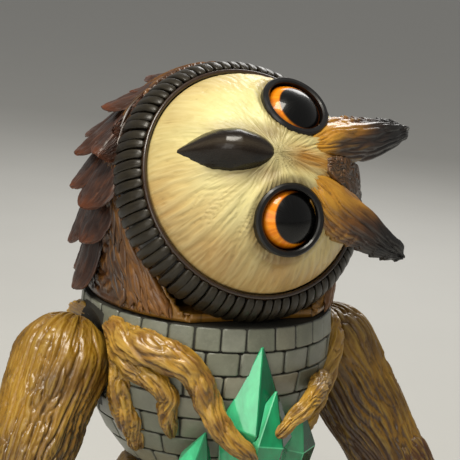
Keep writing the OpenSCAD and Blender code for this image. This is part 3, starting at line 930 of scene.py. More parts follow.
    def finish(
        self,
        name: str,
        body: str,
        slot: str,
        finish: Finish,
        stands_for: Sequence[str] = (),
        cut: tuple[Array, Array] | None = None,
        wall: float = 0.0,
    ) -> bpy.types.Object:
        """Bakes the clay into a piece of the figurine.

        Args:
            name: Name of the piece.
            body: The moving body that it rides on.
            slot: Not used.
            finish: Its finish.
            stands_for: The nodes that it replaces.
            cut: A point and a direction; what lies that way is cut off.
            wall: Wall thickness that is added inwards, or 0.

        Returns:
            The piece.
        """
        self.mesh.name = name
        self.mesh.vertices.foreach_set("co", (self.place * MM).ravel())
        for layer, kind, field, values in (
            ("flow", "FLOAT_VECTOR", "vector", self.flow),
            ("depth", "FLOAT", "value", self.depth),
            ("paint", "FLOAT_COLOR", "color", self.paint),
        ):
            made = self.mesh.attributes.new(layer, kind, "POINT")
            made.data.foreach_set(field, values.ravel())
        if cut is not None:
            bm = bmesh.new()
            bm.from_mesh(self.mesh)
            bmesh.ops.bisect_plane(
                bm,
                geom=bm.verts[:] + bm.edges[:] + bm.faces[:],
                plane_co=Vector(cut[0] * MM),
                plane_no=Vector(cut[1]),
                clear_outer=True,
            )
            bm.to_mesh(self.mesh)
            bm.free()
        self.mesh.polygons.foreach_set("use_smooth", np.ones(len(self.mesh.polygons), bool))
        self.mesh.update()
        piece = put(name, self.mesh)
        self.mesh.materials.append(coat_of(finish))
        if wall:
            shell = piece.modifiers.new("wall", "SOLIDIFY")
            shell.thickness = wall * MM
            shell.offset = -1.0
        return enter(piece, body, stands_for)


def enter(
    piece: bpy.types.Object, body: str, stands_for: Sequence[str] = ()
) -> bpy.types.Object:
    """Puts a finished piece on its body and reports it.

    Args:
        piece: The piece.
        body: The moving body that it rides on.
        stands_for: The nodes that it replaces.

    Returns:
        The piece.
    """
    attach(piece, body)
    if stands_for:
        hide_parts(*stands_for)
    LOG.info("%s: %d faces", piece.name, len(piece.data.polygons))
    return piece


def spun(
    name: str, profile: Sequence[tuple[float, float]], axes: Axes, steps: int, finish: Finish
) -> bpy.types.Object:
    """Spins a closed outline about the third axis of a frame.

    Args:
        name: Name of the piece.
        profile: Radius and height of each corner, in order.
        axes: The frame.
        steps: Steps of the full turn.
        finish: Its finish.

    Returns:
        The piece, which rides on nothing yet.
    """
    bm = bmesh.new()
    ring = [bm.verts.new((r * MM, 0, w * MM)) for r, w in profile]
    edges = [bm.edges.new((a, b)) for a, b in zip(ring, ring[1:] + ring[:1])]
    bmesh.ops.spin(
        bm,
        geom=ring + edges,
        cent=(0, 0, 0),
        axis=(0, 0, 1),
        angle=math.tau,
        steps=steps,
        use_merge=True,
    )
    bmesh.ops.remove_doubles(bm, verts=bm.verts[:], dist=1e-6)
    bmesh.ops.recalc_face_normals(bm, faces=bm.faces[:])
    matrix = Matrix(axes.rows.T.tolist()).to_4x4()
    matrix.translation = Vector(axes.origin * MM)
    bmesh.ops.transform(bm, matrix=matrix, verts=bm.verts[:])
    mesh = baked(bm, name)
    mesh.polygons.foreach_set("use_smooth", np.ones(len(mesh.polygons), bool))
    mesh.materials.append(coat_of(finish))
    return put(name, mesh)


def plume(
    name: str,
    roots: Array,
    tips: Array,
    faces: Array,
    widths: Array,
    colours: tuple[str, str, str],
    body: str,
    stands_for: Sequence[str],
    curl: float = 1.5,
    thick: float = 1.1,
    keep_behind: Axes | None = None,
) -> bpy.types.Object:
    """Models a group of overlapping feathers, each with a shaft and barbs.

    Args:
        name: Name of the piece.
        roots: Root of each feather.
        tips: Tip of each feather.
        faces: The way that each feather's outer side faces.
        widths: Width of each feather.
        colours: Hex colours of the root, the vane and the tip.
        body: The moving body that they ride on.
        stands_for: The nodes that they replace.
        curl: How far the tips curl out, in millimetres.
        thick: Half thickness, in millimetres.
        keep_behind: The rim's frame if the feathers stay behind the ruff, or None.

    Returns:
        The piece.
    """
    clay = Clay.balls(len(roots), 52, 32)
    steps = np.array([0, 0.2, 0.45, 0.7, 0.88, 1])
    paths = roots[:, None] + (tips - roots)[:, None] * steps[:, None]
    paths = paths + faces[:, None] * (steps**3 * curl)[:, None]
    broad = np.array([0.62, 0.84, 1.0, 1.0, 0.86, 0.5])
    wide = widths[:, None] / 2 * broad
    slim = np.tile(thick * np.array([1.0, 1.0, 1.0, 0.85, 0.6, 0.35]), (len(roots), 1))
    turned_out = np.repeat(faces[:, None], len(steps), axis=1)
    far, across = clay.draw(paths, wide, slim, turned_out, blunt=5.0, bow=0.18)
    size = widths[clay.which] / 2
    along = clay.flow[:, 1]
    fanned = np.stack([across * size * (1.35 - 0.6 * far), along, clay.which * 9.0], 1)
    barbs = NOISE.strands(fanned, 1.7, 18, 0.5)
    fine = NOISE.strands(fanned + 33, 0.6, 9, 0.5)
    shaft = np.exp(-((across * size / 0.45) ** 2)) * (1 - far)
    upper = np.sin(clay.turn) > -0.2
    clay.press(np.where(upper, (barbs - 0.7) * 0.55 + (fine - 0.7) * 0.15 + shaft * 0.3, 0))
    clay.depth = np.clip(0.62 * barbs + 0.25 * fine + shaft * 0.2, 0, 1)
    root, vane, tip = (linear(c) for c in colours)
    tint = blend(root, vane, far * 1.6)
    clay.paint = blend(tint, tip, ease(far, 0.72, 1.0) * 0.85)
    each = 0.85 + 0.35 * np.random.default_rng(3).random(len(roots))
    clay.paint[:, :3] *= each[clay.which][:, None]
    if keep_behind is not None:
        local = keep_behind.read(clay.place)
        local[:, 2] = np.minimum(local[:, 2], FEATHER_FRONT)
        clay.place = keep_behind.place(local)
    return clay.finish(name, body, "russet_resin", Finish.FEATHER, stands_for)


# ---- face ---------------------------------------------------------------------------------------


@dataclass
class Face:
    """The mask with its eyes, beak, crown patch and brow tufts. It turns as one body."""

    rim: float = 33.6
    dome: float = 25.0
    skirt: float = 5.0
    wall: float = 2.4
    eye_side: float = 17.1
    eye_up: float = 2.0
    eye_turn: float = 21.0
    eye_ball: float = 10.9
    eye_r: float = 8.58
    eye_back: float = -2.6
    eye_seat: float = -4.6
    hairs_from: float = -5.0
    beak_top: float = -5.7
    beak_reach: float = 24.8
    body: str = "face"

    def __post_init__(self) -> None:
        """Works out the mask's sphere and the eyes' frames."""
        self.ball = (self.rim**2 + self.dome**2) / (2 * self.dome)
        self.low = self.dome - self.ball
        out = self.height(math.hypot(self.eye_side, self.eye_up))
        self.eyes = []
        for side in (-1, 1):
            middle = (side * self.eye_side, self.eye_up, float(out))
            self.eyes.append(FACE.within(middle, turned("Y", side * self.eye_turn)))

    def height(self, r: Union[float, Array]) -> Array:
        """Gives the height of the mask's dome at a distance from the middle of the face."""
        return self.low + np.sqrt(np.maximum(self.ball**2 - np.asarray(r, float) ** 2, 1))

    def build(self) -> None:
        """Builds all pieces of the face."""
        self.mask()
        self.beak()
        self.crown()
        for side in (-1, 1):
            self.tuft(side)
            self.eye(side)

    def mask(self) -> None:
        """Models the mask: a shell with seats for the eyes, a bridge, and hairs off the beak."""
        clay = Clay.balls(1, 400, 230)
        top = math.asin(self.rim / self.ball)
        inner = self.ball - self.wall
        inner_top = math.asin((self.rim - self.wall) / inner)
        arc = np.linspace(0, top, 60)
        back = np.linspace(inner_top, 0, 20)
        outer_part = arc / top * 0.78
        inner_part = 0.88 + (inner_top - back) / inner_top * 0.12
        edge = [(0.83, self.rim, -self.skirt), (0.85, self.rim - self.wall, -self.skirt)]
        outer_height = self.low + self.ball * np.cos(arc)
        inner_height = self.low + inner * np.cos(back)
        profile = np.concatenate(
            [
                np.stack([outer_part, self.ball * np.sin(arc), outer_height], 1),
                edge,
                np.stack([inner_part, inner * np.sin(back), inner_height], 1),
            ]
        )
        local = clay.throw(profile, FACE, 12)
        a, b = local[:, 0], local[:, 1]
        front = clay.run < 0.8
        bridge = 1.6 * np.exp(-((a / 4.5) ** 2)) * ease(b, -12, -2) * ease(b, 26, 8)
        ring = np.zeros(len(a))
        for eye in self.eyes:
            near = np.hypot(*eye.read(clay.place).T[:2])
            ring += 0.9 * np.exp(-(((near - 12.2) / 1.6) ** 2))
        clay.press(np.where(front, bridge + ring, 0))
        spot = np.stack([a, b - self.hairs_from], 1)
        far = np.linalg.norm(spot, axis=1)
        way = spot / np.maximum(far, 0.1)[:, None]
        inside = np.stack([way[:, 0] * 9, far, way[:, 1] * 9], 1)
        outside = np.stack([way[:, 0] * 26, far, way[:, 1] * 26], 1)
        share = ease(far, 9, 20)
        hairs = NOISE.strands(inside, 1.2, 11, 0.6) * (1 - share)
        hairs = hairs + NOISE.strands(outside, 1.1, 12, 0.7) * share
        curls = NOISE.strands(outside + 40, 2.6, 16, 0.9)
        calm = front * ease(clay.run, 0.78, 0.74)
        clay.press(calm * ((hairs - 0.6) * 0.32 + (curls - 0.6) * 0.18))
        for eye in self.eyes:
            seat = eye.read(clay.place)
            near = np.hypot(seat[:, 0], seat[:, 1])
            sunk = np.minimum(seat[:, 2], self.eye_seat)
            seat[:, 2] = np.where(near < 10.1, sunk, seat[:, 2])
            clay.place = eye.place(seat)
        clay.flow = outside
        clay.depth = np.clip(0.25 + 0.5 * hairs + 0.25 * curls, 0, 1)
        clay.paint = self.mask_paint(a, b, far, front)
        clay.finish("mask_shell", self.body, "cream_resin", Finish.MASK, ["face_mask"])

    def mask_paint(self, a: Array, b: Array, far: Array, front: Array) -> Array:
        """Airbrushes the mask, with painted shade towards its rim, its lower side and round the beak.

        Args:
            a: Place to the right of the middle of the face.
            b: Place above it.
            far: Distance from where the hairs start.
            front: Whether the point is on the outer side.

        Returns:
            One colour for each point.
        """
        cream, straw_and_shade = linear("dfd796"), linear("ba985c")
        gold, brown = linear("a87015"), linear("5f3c18")
        r = np.hypot(a, b)
        cloud = NOISE.at(np.stack([a / 9, b / 9, a * 0 + 3], 1)) * 0.5
        # Painted shade: a tan towards the rim and towards the side that hangs lowest at rest, mixed
        # with random patches of the same tan.
        edge = ease(r, 20, 34) * 0.6
        paint = blend(cream, straw_and_shade, edge + ease(a, -12, 28) * 0.45 + cloud * 0.5)
        brow = ease(b, 3, 13) * ease(np.abs(a), 17, 8)
        bridge = np.exp(-((a / 4.0) ** 2)) * ease(b, -6, 3)
        paint = blend(paint, gold, np.maximum(brow, bridge) * 0.95)
        # Painted shadow: brown along both sides of the beak and round its root.
        beak_flank_shadow = np.exp(-(((np.abs(a) - 6.5) / 3.0) ** 2)) * ease(b, 0, -8) * ease(b, -30, -16)
        root = np.exp(-((far / 7.0) ** 2))
        paint = blend(paint, brown, beak_flank_shadow * 0.5 + root * 0.5)
        for eye in self.eyes:
            spot = FACE.read(eye.origin[None])[0]
            near = np.hypot(a - spot[0], b - spot[1])
            paint = blend(paint, brown, ease(near, 13.0, 9.5) * 0.6)
        return np.where(front[:, None], paint, brown)

    def beak(self) -> None:
        """Models the hooked beak: a keeled ridge and flanks, with painted shade for two nostrils that
        are not cut, a painted sheen on its upper side and a painted highlight along its keel.
        """
        clay = Clay.balls(1, 96, 150)
        far = (1 - np.cos(clay.run * math.pi)) / 2
        steps = np.array([0, 0.3, 0.45, 0.62, 0.73, 0.86, 0.95, 1.0])
        root = np.sqrt(1 - np.clip(1 - far / 0.5, 0, 1) ** 2)
        half = root * np.interp(far, steps, [6.0, 6.4, 6.5, 5.9, 4.7, 2.5, 1.0, 0.2])
        rise = root * np.interp(far, steps, [3.0, 5.6, 7.0, 7.6, 7.1, 5.2, 3.1, 1.6])
        b = self.beak_top - self.beak_reach * far
        up = np.sin(clay.turn)
        side = np.cos(clay.turn)
        x = half * np.sign(side) * np.abs(side) ** 0.8
        ridge = np.where(up > 0, rise * np.abs(up) ** 1.7, -2.6 * np.abs(up))
        hook = -3.4 * ease(far, 0.7, 1.0)
        floor = self.height(np.hypot(x, np.minimum(-b, 30)))
        clay.place = FACE.place(np.stack([x, b, floor + ridge + hook], 1))
        clay.flow = np.stack([x * 1.3, b, ridge], 1)
        off = ((np.abs(x) - 3.7) / 0.9) ** 2 + ((b + 11.0) / 1.6) ** 2
        nostril_shade = np.exp(-off) * (up > 0)
        grain = NOISE.at(np.stack([x / 1.3, b / 8, ridge / 1.3], 1))
        clay.press(grain * 0.05)
        keel = np.exp(-((x / (half * 0.16 + 0.2)) ** 2)) * (up > 0)
        clay.depth = np.clip(0.66 + 0.15 * keel - nostril_shade, 0, 1)
        # Painted light: grey towards the top of the ridge is a painted sheen on the upper side, and
        # the pale along the keel is a painted highlight; the tip is paler too.
        dark, grey, pale = linear("0b0603"), linear("1c140d"), linear("4d4437")
        paint = blend(dark, grey, ease(ridge / np.maximum(rise, 0.5), 0.3, 0.95) * 0.8)
        paint = blend(paint, pale, keel * 0.4 + 0.25 * ease(far, 0.93, 1.0))
        # Painted shade: the nostrils are dark spots, with nothing cut.
        clay.paint = blend(paint, linear("050302"), nostril_shade * 1.5)
        clay.finish("hooked_beak", self.body, "horn_resin", Finish.HORN, ["beak"])

    def crown(self) -> None:
        """Models the crown patch between the tufts, with short curly feathers."""
        clay = Clay.sheets(1, 90, 110)
        u, v = clay.raw[:, 0], (clay.raw[:, 1] + 1) / 2
        b = 9.0 + 25.0 * v
        half = np.interp(v, [0, 0.2, 0.5, 0.8, 1], [1.2, 4.5, 7.0, 9.0, 9.2])
        a = u * half
        edge = ease(np.abs(u), 1.0, 0.75) * ease(v, 0, 0.12)
        flow = np.stack([a, b, a * 0], 1)
        bend = NOISE.at(flow / 4.0)[:, None] * np.array([2.6, 2.6, 0])
        worms = np.minimum(1, np.abs(NOISE.at((flow + bend) / np.array([1.1, 2.4, 1]))) * 3) ** 0.7
        lift = -1.2 + edge * (3.4 + worms * 0.7)
        under = self.height(np.minimum(np.hypot(a, b), self.rim - 0.2))
        clay.place = FACE.place(np.stack([a, b, under + lift], 1))
        clay.flow = flow
        clay.depth = np.clip(0.15 + 0.75 * worms, 0, 1)
        clay.paint = blend(linear("5d4224"), linear("3a2412"), v * 0.8)
        clay.finish(
            "crown_feathers", self.body, "umber_resin", Finish.FEATHER, ["crown_patch"], wall=1.2
        )

    def tuft(self, side: int) -> None:
        """Models one brow tuft: gold at its root, scalloped outside, black at its blunt tip.

        Args:
            side: -1 or 1.
        """
        clay = Clay.balls(1, 130, 170)
        b = np.array([3.0, 9.0, 14.0, 20.0, 26.0, 32.0, 37.5, 41.6])
        a = side * np.array([4.0, 6.6, 9.6, 12.0, 14.0, 16.6, 18.6, 19.8])
        w = np.array([23.6, 22.6, 20.6, 18.4, 17.4, 17.0, 16.9, 16.6])
        wide = np.array([[2.0, 4.8, 6.5, 7.0, 6.6, 5.6, 4.2, 2.4]])
        if side > 0:
            wide = np.array([[2.0, 4.8, 6.3, 6.6, 5.8, 4.3, 2.9, 1.3]])
        thick = np.array([[1.4, 2.6, 3.6, 4.2, 4.1, 3.5, 2.7, 1.6]])
        path = FACE.place(np.stack([a, b, w], 1))[None]
        out = unit(np.stack([a * 0.55, b * 0.25, b * 0 + 25.0], 1)) @ FACE.rows
        far, _ = clay.draw(path, wide, thick, out[None], blunt=4.5, bow=0.12)
        knots = np.linspace(0, 1, len(a))
        mid = FACE.read(clay.place)[:, 0] * side - np.interp(far, knots, a * side)
        outer = np.clip(mid / np.interp(far, knots, wide[0]), -1, 1)
        beat = far * 11 + NOISE.at(clay.flow / 6) * 0.5
        scale = 1 - (beat % 1)
        scallop = scale * ease(outer, 0.35, 0.95) * ease(far, 0.3, 0.45)
        hair = NOISE.strands(clay.flow, 1.7, 26, 0.5)
        fine = NOISE.strands(clay.flow + 9, 0.9, 14, 0.5)
        knob = NOISE.at(clay.place / 2.2) * ease(far, 0.8, 0.95)
        top = np.sin(clay.turn) > -0.3
        line = -0.62 if side > 0 else 0.2
        crest = np.exp(-(((outer - line) / 0.24) ** 2)) * ease(far, 0.08, 0.3)
        crest = crest * (np.sin(clay.turn) > 0)
        relief = (hair - 0.6) * np.where(top, 0.8, 0.3) + (fine - 0.6) * 0.2
        relief = relief + (scallop - 0.3) * 0.9 * (outer > 0)
        clay.press(relief + knob * 0.7 + crest * 1.3)
        clay.depth = np.clip(0.12 + 0.55 * hair + 0.2 * fine + 0.3 * scallop, 0, 1)
        clay.depth *= 1 - 0.5 * ease(far, 0.45, 0.7)
        gold, tan = linear("ad7a1e"), linear("7a4d15")
        brown, black = linear("3b220d"), linear("080605")
        patchy = NOISE.at(clay.place / 4.0) * 0.08
        paint = blend(gold, tan, ease(far + patchy, 0.22, 0.46))
        paint = blend(paint, brown, ease(far + patchy, 0.38, 0.62))
        # Painted light and shade: the crest, on the edge that faces up at rest, gets a painted
        # highlight, and the side beyond it and the underside get painted shade.
        under = ease(-np.sin(clay.turn), 0.1, 0.7)
        inside = ease(outer, line - 0.1, line - 0.45) * ease(far, 0.12, 0.3)
        paint = blend(paint, linear("a06e1c"), crest * 0.9 * ease(far, 0.68, 0.4))
        paint = blend(paint, linear("2c190b"), inside * 0.92)
        paint = blend(paint, linear("3c2419"), under * 0.9)
        clay.paint = blend(paint, black, ease(far + patchy, 0.52, 0.76))
        name = side_name(side)
        clay.finish(
            f"tuft_plume_{name}", self.body, "ochre_resin", Finish.TUFT, [f"brow_tuft_{name}"]
        )

    def eye(self, side: int) -> None:
        """Models one bulging glass eye, painted from behind with a fiery iris and a large pupil.

        Args:
            side: -1 or 1.
        """
        name = side_name(side)
        eye = self.eyes[0 if side < 0 else 1]
        clay = Clay.balls(1, 96, 64)
        arc = np.linspace(0, math.asin(self.eye_r / self.eye_ball), 24)
        height = -7.7 + self.eye_ball * np.cos(arc)
        dome = np.stack([arc / arc[-1] * 0.8, self.eye_ball * np.sin(arc), height], 1)
        back = [(0.86, self.eye_r, self.eye_back), (1, 0, self.eye_back)]
        local = clay.throw(np.concatenate([dome, back]), eye, 8)
        x, y = local[:, 0], local[:, 1]
        r = np.hypot(x, y)
        pupil, raised = (7.3, 1.9) if side > 0 else (6.8, 0.9)
        black = np.hypot(x + side * 0.9, y - raised) - pupil
        ways = np.arctan2(y, x)
        rays = NOISE.at(np.stack([np.cos(ways) * 9, r / 5, np.sin(ways) * 9], 1))
        amber, fire = linear("e87c03"), linear("fb9f14")
        iris_edge_shade, jet = linear("7c3002"), linear("010101")
        paint = blend(amber, fire, 0.35 + rays * 0.9)
        # Painted shade: the iris darkens towards its edge, as if it were sunk under the rim.
        paint = blend(paint, iris_edge_shade, ease(r, 6.6, 8.2) * 0.8)
        paint = blend(paint, jet, ease(r, 7.7, 8.4))
        clay.paint = blend(paint, jet, ease(black, 0.25, -0.25))
        clay.depth = np.full(len(r), 0.8)
        nodes = [f"eye_iris_{name}", f"eye_glass_{name}"]
        clay.finish(f"eye_dome_{name}", self.body, "eye_glass", Finish.IRIS, nodes)


# ---- head ---------------------------------------------------------------------------------------


@dataclass
class Head:
    """The hood with its fur, locks and feathers, and the ribbed ruff round the face."""

    r: float = 37.5
    centre: float = NECK + 35.0
    seam: float = NECK + 0.35
    ribs: int = 76
    body: str = "head"

    def build(self) -> None:
        """Builds all pieces of the head."""
        self.hood()
        self.locks()
        self.nape()
        self.ruff()

    def girth(self, z: Array) -> Array:
        """Gives the radius of the hood at a height."""
        up = np.maximum(np.asarray(z, float) - self.centre, 0)
        return np.sqrt(np.maximum(self.r**2 - up**2, 0.01))

    def hood(self) -> None:
        """Models the furry hood under the feathers."""
        clay = Clay.balls(1, 300, 200)
        arc = np.linspace(0, math.pi / 2, 30)
        height = self.centre + self.r * np.cos(arc)
        cap = np.stack([arc / (math.pi / 2) * 0.5, self.r * np.sin(arc), height], 1)
        foot = [(0.88, self.r, self.seam + 0.8), (0.9, self.r - 0.6, self.seam), (1, 0, self.seam)]
        clay.throw(np.concatenate([cap, foot]), FIGURE, self.r)
        behind = -RIM.read(clay.place)[:, 2] - 12.5
        fur = NOISE.strands(clay.flow, 2.2, 13, 1.5)
        fine = NOISE.strands(clay.flow + 20, 1.0, 8, 1.2)
        side = clay.run < 0.87
        clay.press(side * ((fur - 0.7) * 0.9 + (fine - 0.7) * 0.3))
        clay.depth = np.clip(0.1 + 0.6 * fur + 0.25 * fine, 0, 1)
        gold, brown, dark = linear("8d6322"), linear("4e2f14"), linear("2e190d")
        paint = blend(gold, brown, ease(behind + (clay.place[:, 2] - 130) / 3, 5, 15))
        clay.paint = blend(paint, dark, ease(behind, 14, 34))
        plane = RIM.place(np.array([[0, 0, HOOD_CUT]]))[0]
        clay.finish(
            "fur_hood",
            self.body,
            "russet_resin",
            Finish.FUR,
            ["head_hood"],
            cut=(plane, RIM.rows[2]),
            wall=2.4,
        )

    def edge_angle(self, z: Array) -> Array:
        """Gives the angle off the front, in radians, at which the ruff's back meets the hood.

        Args:
            z: Heights at which it is wanted.

        Returns:
            One angle for each height.
        """
        lean = math.radians(RIM_LEAN)
        y = RIM_Y + (12.5 + round(math.cos(lean), 5) * (z - RIM_Z)) / round(math.sin(lean), 5)
        return np.arccos(np.clip(-y / self.girth(z), -1, 1))

    def locks(self) -> None:
        """Models the curly golden locks that run down behind the ruff and fan out at the seam."""
        draw = np.random.default_rng(11)
        paths, wides, faces, tints = [], [], [], []
        shape = np.array([0.5, 1.1, 1.45, 1.5, 1.3, 0.9, 0.35])
        for side in (-1, 1):
            for row, back in enumerate((1.4, 3.4, 5.6, 8.0, 10.6, 13.4, 16.4)):
                for top in np.arange(181.0 - row * 8, 122.0, -4.4):
                    start = top + draw.uniform(-1.5, 1.5)
                    z = np.linspace(start, max(start - draw.uniform(13, 19), self.seam + 1.2), 7)
                    fan = np.linspace(0, 1, 7) ** 2 * draw.uniform(0.5, 3.0)
                    wave = np.sin(np.linspace(0, 5.5, 7) + draw.uniform(0, 6)) * 0.8
                    off = back + draw.uniform(-0.6, 0.6) + fan + wave
                    angle = self.edge_angle(z) + off / self.r
                    q = self.girth(z) + np.linspace(-0.2, 1.5, 7) + draw.uniform(-0.2, 0.3)
                    lock = np.stack([side * q * np.sin(angle), -q * np.cos(angle), z], 1)
                    local = RIM.read(lock)
                    local[:, 2] = np.minimum(local[:, 2], LOCK_PATHS)
                    paths.append(RIM.place(local))
                    faces.append(np.stack([side * np.sin(angle), -np.cos(angle), z * 0], 1))
                    wides.append(shape * draw.uniform(0.8, 1.15))
                    tints.append((row, top))
        clay = Clay.balls(len(paths), 12, 16)
        wide = np.array(wides)
        far, _ = clay.draw(np.array(paths), wide, wide * 0.72, np.array(faces), blunt=3.0)
        hair = NOISE.strands(clay.flow, 0.8, 7, 0.8)
        clay.press((hair - 0.6) * 0.3)
        clay.depth = np.clip(0.45 * hair + 0.5 * np.sin(clay.turn), 0, 1)
        row, top = np.array(tints)[clay.which].T
        gold, brown = linear("6c420c"), linear("2c1706")
        clay.paint = blend(gold, brown, ease(row * 0.5 + (top - 142) / 14, 0.4, 2.6))
        clay.paint = blend(clay.paint, linear("5e3d12"), ease(far, 0.45, 0.1) * 0.7)
        local = RIM.read(clay.place)
        local[:, 2] = np.minimum(local[:, 2], LOCK_FRONT)
        clay.place = RIM.place(local)
        clay.place[:, 2] = np.maximum(clay.place[:, 2], self.seam + 0.05)
        clay.finish("golden_locks", self.body, "ochre_resin", Finish.FUR, ["cheek_fur"])

    def nape(self) -> None:
        """Models the tiers of feathers over the back of the head."""
        # Height of the roots and of the tips over the seam, how far the tips stand out, half the
        # sweep in degrees, how many feathers, and their width.
        tiers = [
            (27, 4, 4.5, 80, 10, 19.0),
            (41, 17, 6, 90, 11, 19.0),
            (53, 31, 7.5, 94, 10, 19.5),
            (63, 44, 7.5, 97, 9, 19.5),
            (70, 55, 6, 100, 8, 18.5),
            (72.6, 63, 4, 104, 7, 16.0),
        ]
        roots, tips, outs, widths = [], [], [], []
        for top, tip, lift, sweep, count, width in tiers:
            for i in range(count):
                angle = math.radians(180 - sweep + 2 * sweep * i / (count - 1))
                way = np.array([math.sin(angle), -math.cos(angle), 0])
                step = 0.7 * (i % 2)
                start = way * (self.girth(NECK + top) - 2.0 + step)
                start = start + np.array([0, 0, NECK + top])
                end = way * (self.girth(NECK + tip) + lift - 1.2 + step)
                end = end + np.array([0, 0, NECK + tip - 3 * (i % 2)])
                down = unit(end - start)
                roots.append(start)
                tips.append(end)
                outs.append(unit(way - down * (way @ down)))
                widths.append(width)
        plume(
            "nape_plumes",
            np.array(roots),
            np.array(tips),
            np.array(outs),
            np.array(widths),
            ("170a03", "351a0a", "63300d"),
            self.body,
            ["nape_feathers"],
            keep_behind=RIM,
        )

    def ruff(self) -> None:
        """Models the ruff: a dark core, a rounded lip and a ring of rounded ribs."""
        outside = [(35.9, -2.0), (37.4, -5), (38.1, -8), (38.1, -11), (37.2, -12.45)]
        inside = [(6.7, -12.45), (6.7, -9.6), (34.2, -9.6), (34.2, -2.0)]
        core = spun("ruff_core", outside + inside, RIM, 192, Finish.CORE)
        enter(core, self.body, ["ribbed_ruff"])
        inside = [(34.05, -6.4), (34.05, -0.3), (34.2, 0), (34.5, 0.15)]
        outside = [(34.9, 0.15), (35.2, 0), (35.35, -0.3), (35.35, -6.4)]
        lip = spun("ruff_double_lip", inside + outside, RIM, 256, Finish.LIP)
        enter(lip, self.body, ["ruff_lip"])
        clay = Clay.balls(self.ribs, 20, 24)
        angle = np.arange(self.ribs) * math.tau / self.ribs
        draw = np.random.default_rng(4)
        r = np.array([35.35, 36.9, 38.3, 39.2, 39.5, 39.2])
        w = np.array([-0.5, -1.9, -3.9, -6.5, -9.2, -11.7])
        out = unit(np.stack([-np.gradient(w), np.gradient(r)], 1))
        each = (self.ribs, 1)
        shift = draw.normal(0, 0.12, each) / self.r
        lean = draw.normal(0, 0.3, each) / self.r
        spin = angle[:, None] + (shift + lean * np.linspace(0, 1, len(r)))
        cos, sin = np.cos(spin), np.sin(spin)
        local = np.stack([r * cos, r * sin, np.tile(w, each)], 2)
        face = np.stack([out[:, 0] * cos, out[:, 0] * sin, np.tile(out[:, 1], each)], 2)
        wide = np.tile([1.25, 1.34, 1.4, 1.43, 1.43, 1.4], each) * draw.uniform(0.95, 1.05, each)
        thick = np.tile([0.6, 0.75, 0.8, 0.8, 0.78, 0.7], each)
        far, _ = clay.draw(RIM.place(local), wide, thick, face @ RIM.rows, blunt=9.0, square=0.5)
        grain = NOISE.strands(clay.flow, 0.8, 3, 1.0)
        clay.press((grain - 0.6) * 0.12)
        clay.depth = np.clip(0.3 + 0.4 * grain + 0.35 * np.sin(clay.turn), 0, 1)
        clay.paint = blend(linear("1f1a10"), linear("130f08"), ease(far, 0.3, 0.9))
        clay.place[:, 2] = np.maximum(clay.place[:, 2], self.seam)
        clay.finish("ruff_ribs", self.body, "umber_resin", Finish.RIB)


# ---- body ---------------------------------------------------------------------------------------


# The roots over each shoulder: for each root, knots of angle off the front in degrees, drop under
# the seam, height off the wall, and radius.
RIGHT_ROOTS = (
    (
        (-74, 5, 0, 5.5), (-58, 8, 1.5, 5.5), (-47, 8.5, 2.2, 5.2), (-36, 10, 2.4, 4.6),
        (-29, 13, 2.4, 4.2), (-24, 20, 3, 3.8), (-20, 26, 5, 3.4), (-15, 31, 8, 3.2),
        (-8, 35, 11, 3), (-1, 39, 11.5, 2.6),
    ),
    (
        (-70, 8, 0, 5), (-56, 14, 1.5, 4.2), (-45, 17, 2.2, 3.4), (-39.5, 21, 2.4, 3),
        (-40, 29, 2, 2.6), (-38, 36, 1.6, 1.8),
    ),
    ((-72, 10, 0, 5), (-66, 22, 0.5, 4.6), (-62, 33, 0.5, 4), (-61, 44, 1, 2.6)),
    (
        (-96, 6, 0, 5), (-112, 10, 0.5, 4.4), (-126, 18, 0.8, 3.6), (-132, 30, 0.8, 3),
        (-146, 40, 0.8, 2),
    ),
)
LEFT_ROOTS = (
    (
        (74, 5, 0, 5.5), (64, 10, 0.5, 4.6), (56, 18, 0.8, 4), (46, 25, 1.5, 3.6),
        (36, 31, 3, 3.2), (29, 34, 5, 3.2), (24, 42, 5, 2.6), (15, 49, 4, 2),
    ),
    ((50, 22, 1, 3.4), (36, 19.5, 3, 3), (22, 19, 8, 2.8), (13, 21, 11.5, 2.6), (3, 30, 12.5, 2)),
    ((72, 10, 0, 5), (68, 24, 0.5, 4), (60, 38, 0.5, 3), (52, 46, 0.8, 2)),
    ((96, 6, 0, 5), (110, 14, 0.5, 4), (122, 26, 0.8, 3.2), (118, 40, 0.8, 2.2)),
)


